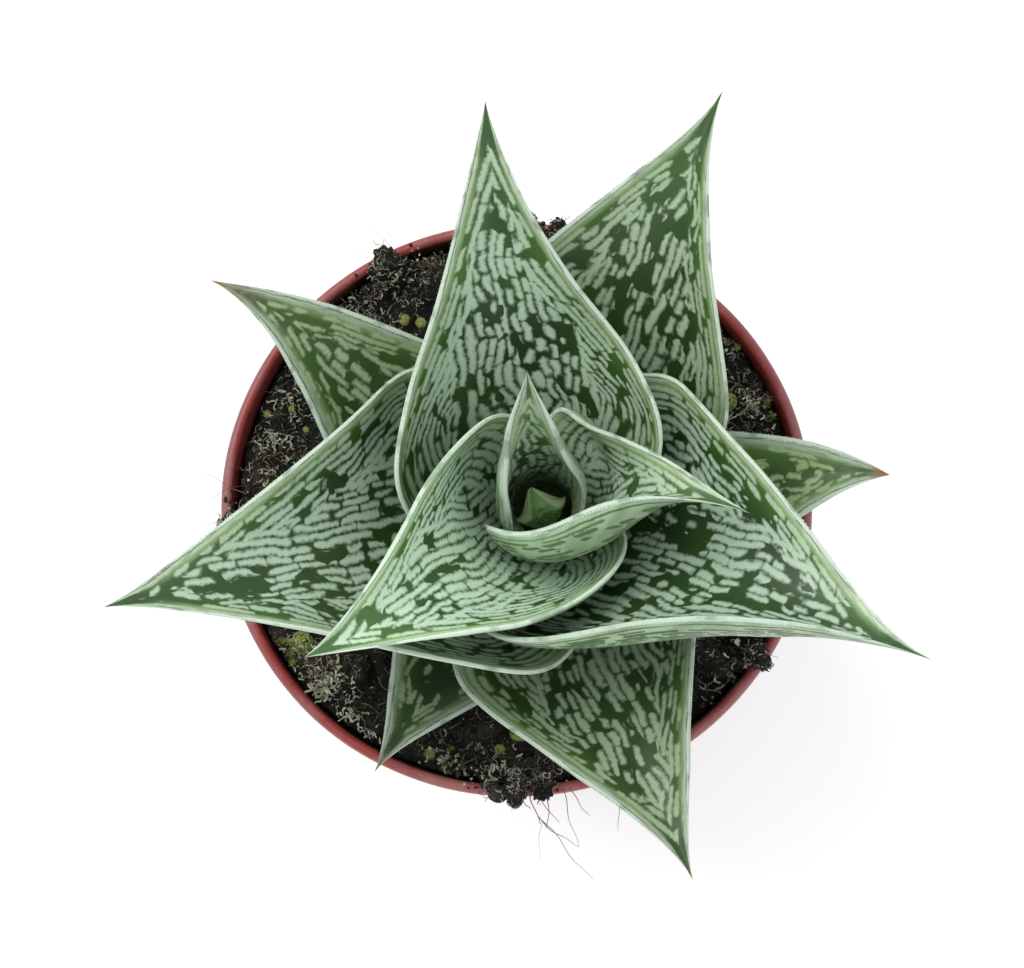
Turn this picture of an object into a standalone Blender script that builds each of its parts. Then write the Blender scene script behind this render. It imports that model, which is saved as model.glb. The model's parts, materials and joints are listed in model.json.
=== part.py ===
"""Potted tribal aloe: a rosette of twelve keeled leaves on a short stem, in peat in a nursery pot.

Blender 4.5. Metres, +Z up, the pot's underside at z = 0. +X is the photo's right and +Y its top.
The dimensions below are in millimetres and become metres when a mesh is made.
"""

import math
import random
from dataclasses import dataclass

import bmesh
import bpy
import numpy as np
from mathutils import Vector, noise
from mathutils.bvhtree import BVHTree

MM = 0.001

# Pot
RIM_HEIGHT = 93.0
RIM_RADIUS = 52.5
BASE_RADIUS = 36.0
LIP_WIDTH = 2.1
LIP_DEPTH = 3.2
COLLAR_DEPTH = 13.0
WALL = 1.1
FLOOR = 1.4
FOOT_ROUND = 2.6
RIM_OVAL = 0.011
DRAIN_HOLES = 8
DRAIN_RING = 25.0
DRAIN_RADIUS = 4.0
POT_SEGMENTS = 48

# Soil
SOIL_LEVEL = RIM_HEIGHT - 6.0
CLEAR = 0.35

# Plant
AXIS = np.array([4.0, -2.4])
STEM_FOOT = RIM_HEIGHT - 24.0
LEAF_STATIONS = 18
LEAF_ACROSS = 10
LEAF_GAP = 0.65


def ease(x):
    """Smooth step from 0 to 1."""
    x = np.clip(x, 0.0, 1.0)
    return x * x * (3.0 - 2.0 * x)


def unit(v):
    """The vector at length 1."""
    return v / max(np.linalg.norm(v), 1e-9)


def heading_vector(degrees):
    """The level direction at this angle from +X."""
    a = math.radians(degrees)
    return np.array([math.cos(a), math.sin(a), 0.0])


UP = np.array([0.0, 0.0, 1.0])


@dataclass(frozen=True)
class Leaf:
    """One leaf: where it sits on the stem, where its tip is, and how wide, cupped and thick it is."""

    name: str
    heading: float  # degrees from +X at the seat
    tip: tuple  # x, y and height over the rim
    seat: float  # height over the rim
    ring: float  # radius of the seat round the axis
    rise: tuple  # slope at the seat and at the tip, degrees
    half_width: float
    wrap: float = 112.0  # half angle round the stem at the seat
    cup: float = 70.0  # half angle of the section at mid length
    point_cup: float = 35.0  # the same near the tip
    roll: float = 0.0  # turn of the section about the spine, low down
    point_roll: float = 0.0  # the same near the tip
    veer: float = 0.0  # sideways turn of the spine's end, degrees
    reach: tuple = (0.36, 0.33)
    wide_at: float = 0.28
    open_at: float = 0.5  # where the section has opened from the wrap to the cup
    belly: float = 1.2
    point: float = 1.45
    body: float = 3.4  # thickness at the keel over that of the margin
    margin: float = 0.8

    def spine(self, t):
        """Point and direction of the midrib at t, from 0 at the seat to 1 at the tip."""
        out = heading_vector(self.heading)
        start = np.array([AXIS[0], AXIS[1], RIM_HEIGHT + self.seat]) + self.ring * out
        end = np.array([self.tip[0], self.tip[1], RIM_HEIGHT + self.tip[2]])
        chord = np.linalg.norm(end - start)
        first, last = (math.radians(a) for a in self.rise)
        flat = end - start
        turn = math.degrees(math.atan2(flat[1], flat[0])) + self.veer
        onward = heading_vector(turn)
        near = start + self.reach[0] * chord * (math.cos(first) * out + math.sin(first) * UP)
        far = end - self.reach[1] * chord * (math.cos(last) * onward + math.sin(last) * UP)
        u = 1.0 - t
        place = u**3 * start + 3 * u * u * t * near + 3 * u * t * t * far + t**3 * end
        along = 3 * u * u * (near - start) + 6 * u * t * (far - near) + 3 * t * t * (end - far)
        return place, unit(along)

    def frame(self, t):
        """Spine point, sideways direction and the direction that the upper face looks in."""
        place, along = self.spine(t)
        level = unit(np.array([along[0], along[1], 0.0]))
        if level @ heading_vector(self.heading) < 0.0:  # a leaf that leans in over the centre
            level = -level
        across = np.array([-level[1], level[0], 0.0])
        square = np.cross(along, across)
        low = ease(t / 0.3)
        face = unit((1.0 - low) * -level + low * square)
        roll = self.roll * ease(t / 0.3) + (self.point_roll - self.roll) * ease((t - 0.3) / 0.7)
        c, s = math.cos(math.radians(roll)), math.sin(math.radians(roll))
        return place, across * c + face * s, face * c - across * s

    def width(self, t):
        """Half width measured along the section."""
        seat = self.ring * math.radians(self.wrap)
        if t < self.wide_at:
            return seat + (self.half_width - seat) * math.sin(0.5 * math.pi * t / self.wide_at)
        q = (t - self.wide_at) / (1.0 - self.wide_at)
        return self.half_width * (1.0 - q**self.belly) ** self.point

    def bend(self, t):
        """Half angle of the section, in radians."""
        angle = self.wrap + (self.cup - self.wrap) * ease((t - 0.04) / (self.open_at - 0.04))
        return math.radians(angle + (self.point_cup - self.cup) * ease((t - 0.5) / 0.5))

    def section(self, t, s):
        """Upper and lower curve of the section at t for the places s, from -1 at one margin to 1."""
        place, across, face = self.frame(t)
        width, bend = self.width(t), self.bend(t)
        power = 1.0 - 0.45 * ease((t - 0.25) / 0.7)
        fine = np.linspace(0.0, 1.0, 121)
        angle = bend * fine**power
        step = np.diff(fine)
        run = np.concatenate([[0.0], np.cumsum((np.cos(angle[1:]) + np.cos(angle[:-1])) / 2 * step)])
        lift = np.concatenate([[0.0], np.cumsum((np.sin(angle[1:]) + np.sin(angle[:-1])) / 2 * step)])
        part = np.abs(s)
        x = np.interp(part, fine, run) * np.sign(s) * width
        y = np.interp(part, fine, lift) * width
        lean = bend * part**power * np.sign(s)
        full = self.body * (0.25 + 0.75 * ease((t - 0.05) / 0.4)) * (1.0 - 0.35 * ease((t - 0.4) / 0.6))
        fade = 2.4 - 1.2 * ease((t - 0.1) / 0.8)
        shrink = min(1.0, width / (0.4 * self.half_width)) if t > self.wide_at else 1.0
        thick = (self.margin + full * (1.0 - part**fade)) * shrink
        inward = np.outer(-np.sin(lean), across) + np.outer(np.cos(lean), face)
        upper = place + np.outer(x, across) + np.outer(y, face)
        return upper, upper - inward * thick[:, None], inward

    def grid(self, stations=LEAF_STATIONS, cells=LEAF_ACROSS):
        """Upper points, lower points and inward directions, station by station."""
        s = np.linspace(-1.0, 1.0, cells + 1)
        s = np.sign(s) * (1.0 - (1.0 - np.abs(s)) ** 1.1)
        rows = [self.section(t, s) for t in np.linspace(0.0, 0.97, stations)]
        return tuple(np.array([row[k] for row in rows]) for k in range(3))

    @property
    def point_place(self):
        """The tip."""
        return np.array([self.tip[0], self.tip[1], RIM_HEIGHT + self.tip[2]])


LEAVES = (
    Leaf(
        "leaf_01", 292, (2.5, -0.8, 33), 21.4, 3, (106, 116), 4.9,
        wrap=62, cup=30, point_cup=6, roll=-8, point_roll=-12,
        wide_at=0.2, open_at=0.3, belly=0.8, point=1.6, body=1,
    ),
    Leaf(
        "leaf_02", 113.1, (1.6, 14.8, 65), 20.6, 4, (88, 58), 12,
        wrap=124, cup=88, point_cup=29, roll=19, point_roll=-10, veer=3, reach=(0.35, 0.35),
        wide_at=0.23, open_at=0.56, belly=1.45, point=1.31, body=2,
    ),
    Leaf(
        "leaf_03", -28.8, (38.5, -7.9, 57), 18.4, 5.2, (65, 13), 22.7,
        wrap=122, cup=80, point_cup=34, roll=-46, point_roll=-39, veer=-19, reach=(0.43, 0.5),
        wide_at=0.29, open_at=0.55, belly=0.81, point=1.27, body=2.6,
    ),
    Leaf(
        "leaf_04", 226.2, (-35.2, -31.5, 55), 15.9, 6.2, (72, 15), 27.3,
        wrap=119, cup=57, point_cup=49, roll=-2, point_roll=8, veer=-12, reach=(0.33, 0.35),
        wide_at=0.24, open_at=0.51, belly=0.89, point=1.16,
    ),
    Leaf(
        "leaf_05", 99.6, (-5.3, 60.9, 60), 13.1, 7.2, (56, 29), 29.8,
        wrap=127, cup=44, point_cup=29, roll=4, point_roll=-15, veer=-5, reach=(0.35, 0.26),
        wide_at=0.24, open_at=0.42, belly=0.7, point=1.22,
    ),
    Leaf(
        "leaf_06", 329.6, (68.5, -31.6, 52), 10.3, 8.2, (60, 5), 33,
        wrap=115, cup=65, point_cup=46, roll=-11, point_roll=-48, veer=2, reach=(0.31, 0.41),
        wide_at=0.25, open_at=0.27, belly=1.43, point=1.46, body=4.4,
    ),
    Leaf(
        "leaf_07", 203.6, (-68.9, -22.5, 48), 7.5, 9, (54, 16), 33.3,
        wrap=107, cup=52, point_cup=34, roll=10, point_roll=17, veer=1, reach=(0.37, 0.33),
        wide_at=0.23, open_at=0.21, belly=1.06, point=1.27,
    ),
    Leaf(
        "leaf_08", 65.7, (35.2, 66.7, 42), 4.7, 9.7, (41, 15), 26.1,
        wrap=96, cup=45, point_cup=41, roll=1, point_roll=-20, veer=-1, reach=(0.39, 0.38),
        wide_at=0.3, open_at=0.32, belly=1.39, point=1.42,
    ),
    Leaf(
        "leaf_09", 285.3, (29.7, -67.4, 33), 1.9, 10.2, (34, 10), 24.8,
        wrap=90, cup=43, point_cup=34, roll=1, point_roll=-1, veer=-2, reach=(0.36, 0.32),
        open_at=0.3, belly=1.23, point=1.42,
    ),
    Leaf(
        "leaf_10", 149.6, (-53.7, 37.3, 22), -0.9, 10.6, (24, 5), 18.2,
        wrap=80, cup=41, point_cup=33, roll=-4, point_roll=5, veer=17, reach=(0.34, 0.34),
        wide_at=0.27, open_at=0.3, belly=1.12, point=1.3,
    ),
    Leaf(
        "leaf_11", 1.7, (65.2, 3.3, 19), -3.7, 10.9, (20, 5), 15.9,
        wrap=76, cup=41, point_cup=33, roll=8, point_roll=-2, veer=-16, reach=(0.35, 0.3),
        wide_at=0.27, open_at=0.3, belly=1.18, point=1.09,
    ),
    Leaf(
        "leaf_12", 238.1, (-25.1, -48.1, 8), -6.5, 11.1, (14, 4), 14.3,
        wrap=66, cup=35, roll=1, point_roll=1, veer=2, reach=(0.37, 0.32), open_at=0.3,
        belly=1.27, point=1.42,
    ),
)


def lattice_faces(rows, cells):
    """Triangles of the closed skin of a leaf whose rings hold the upper points and then the lower."""
    ring = 2 * (cells + 1)
    faces = []
    for i in range(rows - 1):
        for j in range(ring):
            a, b = i * ring + j, i * ring + (j + 1) % ring
            faces += [(a, b + ring, b), (a, a + ring, b + ring)]
    last, tip = (rows - 1) * ring, rows * ring
    faces += [(last + j, tip, last + (j + 1) % ring) for j in range(ring)]
    for j in range(cells):
        a, b, c, d = j, j + 1, ring - 1 - j, ring - 2 - j
        faces += [(a, b, d), (a, d, c)]
    return faces


def skin(upper, lower, tip):
    """Points and triangles of one leaf."""
    rows, across = upper.shape[0], upper.shape[1]
    rings = np.concatenate([upper, lower[:, ::-1]], axis=1)
    points = np.concatenate([rings.reshape(-1, 3), [tip]])
    return points, lattice_faces(rows, across - 1)


def refine(field, times):
    """A grid of points with more rows and columns, straight between the old ones."""
    rows, cols = field.shape[:2]
    i = np.linspace(0, rows - 1, (rows - 1) * times + 1)
    j = np.linspace(0, cols - 1, (cols - 1) * times + 1)
    i0, j0 = np.minimum(i.astype(int), rows - 2), np.minimum(j.astype(int), cols - 2)
    u, v = (i - i0)[:, None, None], (j - j0)[None, :, None]
    pick = lambda a, b: field[np.ix_(a, b)]
    return (
        (1 - u) * (1 - v) * pick(i0, j0)
        + u * (1 - v) * pick(i0 + 1, j0)
        + (1 - u) * v * pick(i0, j0 + 1)
        + u * v * pick(i0 + 1, j0 + 1)
    )


def needed(upper, lower, inward, tree, depth=7.0, times=3):
    """How far each point of a leaf must move outwards to stand clear of the younger leaves."""
    fine, below, facing = refine(upper, times), refine(lower, times), refine(inward, times)
    push = np.zeros(fine.shape[:2])
    for i in range(fine.shape[0]):
        for j in range(fine.shape[1]):
            way = unit(facing[i, j])
            start = fine[i, j] - way * depth
            hit = tree.ray_cast(Vector(start), Vector(way), depth + LEAF_GAP)
            if hit[0] is not None:
                push[i, j] = depth + LEAF_GAP - hit[3]
                continue
            near = tree.find_nearest(Vector(fine[i, j]), LEAF_GAP)
            if near[0] is not None:
                push[i, j] = LEAF_GAP - near[3]
    rows, cols = upper.shape[:2]
    coarse = np.zeros((rows, cols))
    for i in range(rows):
        for j in range(cols):
            a, b = i * times, j * times
            window = push[max(a - times, 0) : a + times + 1, max(b - times, 0) : b + times + 1]
            coarse[i, j] = window.max()
    return coarse


def eased(push, rounds=14):
    """The push spread over its neighbours, never less than it was."""
    field = push.copy()
    for _ in range(rounds):
        padded = np.pad(field, 1, mode="edge")
        mean = sum(
            padded[1 + a : padded.shape[0] - 1 + a, 1 + b : padded.shape[1] - 1 + b]
            for a in (-1, 0, 1)
            for b in (-1, 0, 1)
        ) / 9.0
        field = np.maximum(push, mean)
    return field


def settled_leaves(leaves=LEAVES, rounds=4):
    """Every leaf's grid, youngest first, each laid clear of the younger ones inside it.

    Args:
        leaves: the leaves, youngest first.
        rounds: how many times a leaf is tried against the younger ones.

    Returns:
        A list of (upper points, lower points, tip) for each leaf.
    """
    placed, points, faces = [], [], []
    for leaf in leaves:
        upper, lower, inward = leaf.grid()
        if points:
            tree = BVHTree.FromPolygons([Vector(p) for p in points], faces)
            for _ in range(rounds):
                push = needed(upper, lower, inward, tree)
                if push.max() <= 0.0:
                    break
                move = inward * eased(push)[:, :, None]
                upper, lower = upper - move, lower - move
        placed.append((upper, lower, leaf.point_place))
        more, tris = skin(upper, lower, leaf.point_place)
        faces += [tuple(k + len(points) for k in tri) for tri in tris]
        points += list(more)
    return placed


def leaf_tree(placed):
    """All the leaves as one tree for finding what lies above a place."""
    points, faces = [], []
    for upper, lower, tip in placed:
        more, tris = skin(upper, lower, tip)
        faces += [tuple(k + len(points) for k in tri) for tri in tris]
        points += list(more)
    return BVHTree.FromPolygons([Vector(p) for p in points], faces)


# Radius and height down the outside of the pot, then the inside from the floor up.
POT_OUTSIDE = (
    (RIM_RADIUS - 1.05, RIM_HEIGHT),
    (RIM_RADIUS - 0.4, RIM_HEIGHT - 0.25),
    (RIM_RADIUS, RIM_HEIGHT - 0.95),
    (RIM_RADIUS, RIM_HEIGHT - LIP_DEPTH + 0.8),
    (RIM_RADIUS - 0.4, RIM_HEIGHT - LIP_DEPTH + 0.1),
    (RIM_RADIUS - 1.1, RIM_HEIGHT - LIP_DEPTH - 0.4),
    (RIM_RADIUS - 1.6, RIM_HEIGHT - COLLAR_DEPTH + 0.6),
    (RIM_RADIUS - 2.0, RIM_HEIGHT - COLLAR_DEPTH - 0.2),
    (RIM_RADIUS - 3.1, RIM_HEIGHT - COLLAR_DEPTH - 0.9),
    (RIM_RADIUS - 3.5, RIM_HEIGHT - COLLAR_DEPTH - 2.0),
    (BASE_RADIUS + 1.0, FOOT_ROUND),
    (BASE_RADIUS + 0.3, FOOT_ROUND * 0.35),
    (BASE_RADIUS - 1.4, 0.0),
    (0.0, 0.0),
)
POT_INSIDE = (
    (0.0, FLOOR),
    (BASE_RADIUS - 1.6, FLOOR),
    (BASE_RADIUS - 0.5, FLOOR + 1.2),
    (RIM_RADIUS - 3.5 - WALL, RIM_HEIGHT - COLLAR_DEPTH - 2.0),
    (RIM_RADIUS - 3.1 - WALL, RIM_HEIGHT - COLLAR_DEPTH - 0.2),
    (RIM_RADIUS - 2.0 - WALL, RIM_HEIGHT - COLLAR_DEPTH + 0.9),
    (RIM_RADIUS - LIP_WIDTH, RIM_HEIGHT - LIP_DEPTH + 0.6),
    (RIM_RADIUS - LIP_WIDTH + 0.1, RIM_HEIGHT - 0.8),
    (RIM_RADIUS - LIP_WIDTH + 0.4, RIM_HEIGHT - 0.25),
)


def clear_scene():
    """Takes out everything that Blender starts with."""
    for obj in list(bpy.data.objects):
        bpy.data.objects.remove(obj, do_unlink=True)


def collection(name, helper=False):
    """A collection in the scene; a helper one isn't rendered."""
    made = bpy.data.collections.new(name)
    made.hide_render = helper
    bpy.context.scene.collection.children.link(made)
    return made


def material(name, colour, roughness, subsurface=0.0):
    """A plain Principled BSDF material."""
    made = bpy.data.materials.new(name)
    made.use_nodes = True
    shader = made.node_tree.nodes["Principled BSDF"]
    shader.inputs["Base Color"].default_value = (*colour, 1.0)
    shader.inputs["Roughness"].default_value = roughness
    shader.inputs["Subsurface Weight"].default_value = subsurface
    return made


def mesh_object(name, points, faces, home, look=None):
    """A mesh object from points in millimetres."""
    mesh = bpy.data.meshes.new(name)
    corners = [tuple(float(c) * MM for c in p) for p in points]
    mesh.from_pydata(corners, [], [tuple(map(int, f)) for f in faces])
    mesh.validate()
    obj = bpy.data.objects.new(name, mesh)
    home.objects.link(obj)
    if look:
        mesh.materials.append(look)
    return obj


def helper(obj):
    """Marks a cutter or a piece that is joined to another."""
    obj.hide_render = True
    obj.display_type = "WIRE"
    return obj


def turned(name, profile, home, look=None, segments=POT_SEGMENTS, centre=(0.0, 0.0)):
    """A solid turned about an upright axis from (radius, height) pairs in millimetres."""
    points = [(r, 0.0, z) for r, z in profile]
    obj = mesh_object(name, points, [], home, look)
    obj.data.clear_geometry()
    obj.data.from_pydata(
        [tuple(c * MM for c in p) for p in points], [(i, i + 1) for i in range(len(points) - 1)], []
    )
    screw = obj.modifiers.new("Turn", "SCREW")
    screw.steps = screw.render_steps = segments
    screw.use_merge_vertices = True
    screw.merge_threshold = 0.00005
    screw.use_smooth_shade = False
    baked(obj)
    for vertex in obj.data.vertices:
        vertex.co.x += centre[0] * MM
        vertex.co.y += centre[1] * MM
    return obj


def baked(obj):
    """Replaces the object's mesh by what its modifiers make of it."""
    graph = bpy.context.evaluated_depsgraph_get()
    made = bpy.data.meshes.new_from_object(obj.evaluated_get(graph))
    obj.modifiers.clear()
    obj.data = made
    return obj


def boolean(obj, other, operation):
    """Joins or cuts with the exact solver and keeps the outcome as the object's mesh."""
    step = obj.modifiers.new(operation.title(), "BOOLEAN")
    step.operation = operation
    step.solver = "EXACT"
    step.object = other
    return baked(obj)


def faces_out(obj):
    """Turns every face outwards."""
    mesh = bmesh.new()
    mesh.from_mesh(obj.data)
    bmesh.ops.recalc_face_normals(mesh, faces=mesh.faces)
    mesh.to_mesh(obj.data)
    mesh.free()
    return obj


def largest_island(obj):
    """Keeps the biggest connected body of a mesh."""
    mesh = bmesh.new()
    mesh.from_mesh(obj.data)
    mesh.verts.ensure_lookup_table()
    seen, best = set(), []
    for seed in mesh.verts:
        if seed.index in seen:
            continue
        island, queue = [], [seed]
        seen.add(seed.index)
        while queue:
            vertex = queue.pop()
            island.append(vertex)
            for edge in vertex.link_edges:
                other = edge.other_vert(vertex)
                if other.index not in seen:
                    seen.add(other.index)
                    queue.append(other)
        if len(island) > len(best):
            best = island
    kept = set(best)
    bmesh.ops.delete(mesh, geom=[v for v in mesh.verts if v not in kept], context="VERTS")
    mesh.to_mesh(obj.data)
    mesh.free()
    return obj


def make_oval(obj):
    """Presses a turned shape a little out of round towards the rim."""
    for vertex in obj.data.vertices:
        share = RIM_OVAL * (max(vertex.co.z / MM, 0.0) / RIM_HEIGHT) ** 2
        vertex.co.x *= 1.0 + share
        vertex.co.y *= 1.0 - share
    return obj


def build_pot(home, cutters):
    """The nursery pot: tapered wall, stepped collar, rolled lip and drain holes by the foot."""
    look = material("pot_plastic", (0.36, 0.075, 0.05), 0.42)
    pot = turned("pot", POT_INSIDE + POT_OUTSIDE, home, look)
    faces_out(pot)
    drill = None
    for k in range(DRAIN_HOLES):
        angle = 2 * math.pi * (k + 0.5) / DRAIN_HOLES
        bpy.ops.mesh.primitive_cylinder_add(
            vertices=12,
            radius=DRAIN_RADIUS * MM,
            depth=8 * MM,
            location=(DRAIN_RING * math.cos(angle) * MM, DRAIN_RING * math.sin(angle) * MM, 0),
        )
        hole = helper(bpy.context.object)
        hole.name = f"drain_{k + 1}"
        for owner in list(hole.users_collection):
            owner.objects.unlink(hole)
        cutters.objects.link(hole)
        boolean(pot, hole, "DIFFERENCE")
    make_oval(pot)
    return pot


STEM_PROFILE = (
    (0.0, STEM_FOOT),
    (5.0, STEM_FOOT + 0.5),
    (7.5, STEM_FOOT + 4.0),
    (9.0, RIM_HEIGHT - 12.0),
)


def build_stem(home):
    """The short stem that the leaves stand on, narrowing to the growing point."""
    look = material("stem_skin", (0.22, 0.26, 0.11), 0.7)
    seats = sorted((RIM_HEIGHT + leaf.seat, leaf.ring - CLEAR) for leaf in LEAVES)
    top, tip_radius = seats.pop()
    profile = list(STEM_PROFILE) + [(r, z) for z, r in seats]
    profile += [(tip_radius - 0.4, top - 0.4), (0.0, top + 0.2)]
    stem = turned("stem", profile[::-1], home, look, segments=16, centre=AXIS)
    return faces_out(stem)


# Heaps in the soil: x, y, height over the level around it and reach, all in millimetres.
HEAPS = (
    (-44, -24, 2.2, 9),
    (-33, -36, 2.0, 8),
    (-49, 2, 2.6, 7),
    (-22, 43, 3.0, 9),
    (3, -47, 3.2, 11),
    (14, -44, 2.4, 8),
    (44, 20, 2.0, 8),
    (40, 32, 1.8, 7),
    (7, 49, 3.2, 6),
    (42, -24, 1.6, 8),
    (-44, 22, 1.6, 8),
)
# Places where soil lies over the lip: angle in degrees and how far it spreads along the rim.
SPILLS = ((262, 12), (274, 12), (181, 10), (84, 6), (116, 12), (327, 4))
SOIL_RINGS = 12
SOIL_SEGMENTS = 48


def soil_height(x, y):
    """Height of the bare soil before the leaves are seen to."""
    spot = Vector((x, y, 3.0))
    lumps = 1.1 * noise.noise(spot * 0.16) + 0.8 * noise.noise(spot * 0.42) + 0.5 * noise.noise(spot * 0.9)
    heap = sum(h * math.exp(-((x - a) ** 2 + (y - b) ** 2) / (r * r)) for a, b, h, r in HEAPS)
    return SOIL_LEVEL + lumps + heap


def roof(tree, x, y, reach=2.2):
    """Lowest leaf surface over a place and the places round it."""
    lowest = 1e9
    for k in range(9):
        away = 0.0 if k == 0 else reach
        angle = math.pi * k / 4
        start = Vector((x + away * math.cos(angle), y + away * math.sin(angle), STEM_FOOT - 10.0))
        hit = tree.ray_cast(start, Vector((0, 0, 1)), 300.0)
        if hit[0] is not None:
            lowest = min(lowest, hit[0].z)
    return lowest


def inner_radius(z):
    """Radius of the pot's inside at a height."""
    rows = [(h, r) for r, h in POT_INSIDE[1:]]
    heights, radii = [h for h, _ in rows], [r for _, r in rows]
    return float(np.interp(z, heights, radii))


def build_soil(home, cutters, tree):
    """The peat that fills the pot: lumpy top, crumbs, soil over the lip and a hole for the stem."""
    look = material("peat", (0.035, 0.026, 0.02), 0.95)
    random.seed(11)
    points, faces = [(0.0, 0.0, 0.0)], []
    edge = inner_radius(SOIL_LEVEL + 1.0) - CLEAR - 0.5
    for i in range(1, SOIL_RINGS + 1):
        radius = edge * (i / SOIL_RINGS) ** 0.85
        for j in range(SOIL_SEGMENTS):
            angle = 2 * math.pi * (j + 0.5 * (i % 2)) / SOIL_SEGMENTS
            points.append((radius * math.cos(angle), radius * math.sin(angle), 0.0))
    points = [(x, y, min(soil_height(x, y), roof(tree, x, y) - 0.7)) for x, y, _ in points]
    for j in range(SOIL_SEGMENTS):
        faces.append((0, 1 + j, 1 + (j + 1) % SOIL_SEGMENTS))
    for i in range(1, SOIL_RINGS):
        inner, outer = 1 + (i - 1) * SOIL_SEGMENTS, 1 + i * SOIL_SEGMENTS
        for j in range(SOIL_SEGMENTS):
            k = (j + 1) % SOIL_SEGMENTS
            if i % 2:
                faces += [(inner + j, outer + j, inner + k), (inner + k, outer + j, outer + k)]
            else:
                faces += [(inner + j, outer + j, outer + k), (inner + j, outer + k, inner + k)]
    rim = 1 + (SOIL_RINGS - 1) * SOIL_SEGMENTS
    levels = (RIM_HEIGHT - COLLAR_DEPTH + 0.9, RIM_HEIGHT - COLLAR_DEPTH - 2.4, FLOOR + 1.4, FLOOR + 0.4)
    above = rim
    for z in levels:
        radius = inner_radius(z) - CLEAR - 0.5
        below = len(points)
        for j in range(SOIL_SEGMENTS):
            angle = 2 * math.pi * (j + 0.5 * (SOIL_RINGS % 2)) / SOIL_SEGMENTS
            points.append((radius * math.cos(angle), radius * math.sin(angle), z))
        for j in range(SOIL_SEGMENTS):
            k = (j + 1) % SOIL_SEGMENTS
            faces += [(above + j, below + j, below + k), (above + j, below + k, above + k)]
        above = below
    points.append((0.0, 0.0, FLOOR + 0.4))
    for j in range(SOIL_SEGMENTS):
        faces.append((above + j, len(points) - 1, above + (j + 1) % SOIL_SEGMENTS))
    soil = make_oval(faces_out(mesh_object("soil", points, faces, home, look)))
    crumbs = soil_crumbs(cutters, tree)
    boolean(soil, crumbs, "UNION")
    largest_island(soil)
    stem_side = [(LEAVES[-1].ring, RIM_HEIGHT + 4.0), (LEAVES[-1].ring, RIM_HEIGHT + LEAVES[-1].seat - 0.6)]
    hole = [(r + 2 * CLEAR, z - 0.3) for r, z in stem_side + list(STEM_PROFILE[:0:-1])]
    hole += [(0.0, STEM_FOOT - 0.6)]
    shaft = turned("stem_hole", [(0.0, RIM_HEIGHT + 4)] + hole, cutters, segments=24, centre=AXIS)
    cutter = helper(faces_out(shaft))
    boolean(soil, cutter, "DIFFERENCE")
    inside = [(r - CLEAR, z) for r, z in POT_INSIDE[2:-2]]
    band = [
        *inside,
        (RIM_RADIUS - LIP_WIDTH - CLEAR, RIM_HEIGHT - 0.6),
        (RIM_RADIUS - LIP_WIDTH + 0.2, RIM_HEIGHT + CLEAR),
        (RIM_RADIUS - 0.3, RIM_HEIGHT + CLEAR),
        (RIM_RADIUS + 0.4, RIM_HEIGHT - 0.6),
        (RIM_RADIUS + 0.4, inside[0][1]),
        inside[0],
    ]
    guard = helper(faces_out(make_oval(turned("lip_guard", band, cutters))))
    boolean(soil, guard, "DIFFERENCE")
    return faces_out(largest_island(soil))


def soil_crumbs(cutters, tree):
    """Crumbs of peat on the soil and over the lip, joined into one helper mesh."""
    places = []
    while len(places) < 20:
        angle, radius = random.uniform(0, 2 * math.pi), 46.0 * math.sqrt(random.random())
        x, y = radius * math.cos(angle), radius * math.sin(angle)
        size = random.uniform(1.3, 2.4)
        z = soil_height(x, y) + 0.25 * size
        if roof(tree, x, y, size + 1.0) - z > size + 1.0 and radius > 20:
            places.append((x, y, z, size))
    for heading, spread in SPILLS:
        for _ in range(2):
            angle = math.radians(heading + random.uniform(-spread, spread) / 2)
            for inset, over, size in (
                (4.6, -2.4, random.uniform(2.8, 3.5)),
                (random.uniform(2.4, 3.2), random.uniform(0.2, 0.8), random.uniform(1.7, 2.7)),
                (random.uniform(0.4, 1.4), random.uniform(0.7, 1.3), random.uniform(1.0, 1.8)),
            ):
                radius, z = RIM_RADIUS - inset, RIM_HEIGHT + over
                aside = angle + random.uniform(-1.1, 1.1) / radius
                places.append((radius * math.cos(aside), radius * math.sin(aside), z, size))
    whole = None
    for n, (x, y, z, size) in enumerate(places):
        near = tree.find_nearest(Vector((x, y, z)), size * 1.2 + 0.6)
        if near[0] is not None:
            continue
        place = (x * MM, y * MM, z * MM)
        bpy.ops.mesh.primitive_ico_sphere_add(subdivisions=1, radius=size * MM, location=place)
        crumb = helper(bpy.context.object)
        crumb.name = f"crumb_{n + 1:02d}"
        crumb.rotation_euler = (random.random(), random.random(), random.random())
        crumb.scale = (random.uniform(0.75, 1.3), random.uniform(0.75, 1.3), random.uniform(0.65, 1.0))
        for corner in crumb.data.vertices:
            corner.co *= random.uniform(0.8, 1.12)
        for owner in list(crumb.users_collection):
            owner.objects.unlink(crumb)
        cutters.objects.link(crumb)
        bpy.context.view_layer.update()
        if whole is None:
            whole = crumb
            whole.data.transform(whole.matrix_world)
            whole.matrix_world.identity()
        else:
            boolean(whole, crumb, "UNION")
    whole.name = "crumbs"
    return whole


def build_leaves(home, placed):
    """The twelve leaves, each a closed body standing clear of the others."""
    for order, (leaf, (upper, lower, tip)) in enumerate(zip(LEAVES, placed)):
        age = order / (len(LEAVES) - 1)
        look = material(f"{leaf.name}_skin", (0.16 + 0.08 * age, 0.27, 0.15 - 0.03 * age), 0.45, 0.1)
        points, faces = skin(upper, lower, tip)
        mesh_object(leaf.name, points, faces, home, look)


def main():
    """Builds the whole plant."""
    clear_scene()
    home = collection("potted_tribal_aloe")
    cutters = collection("cutters", helper=True)
    placed = settled_leaves()
    tree = leaf_tree(placed)
    build_leaves(home, placed)
    build_pot(home, cutters)
    build_stem(home)
    build_soil(home, cutters, tree)


if __name__ == "__main__":
    main()
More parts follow.
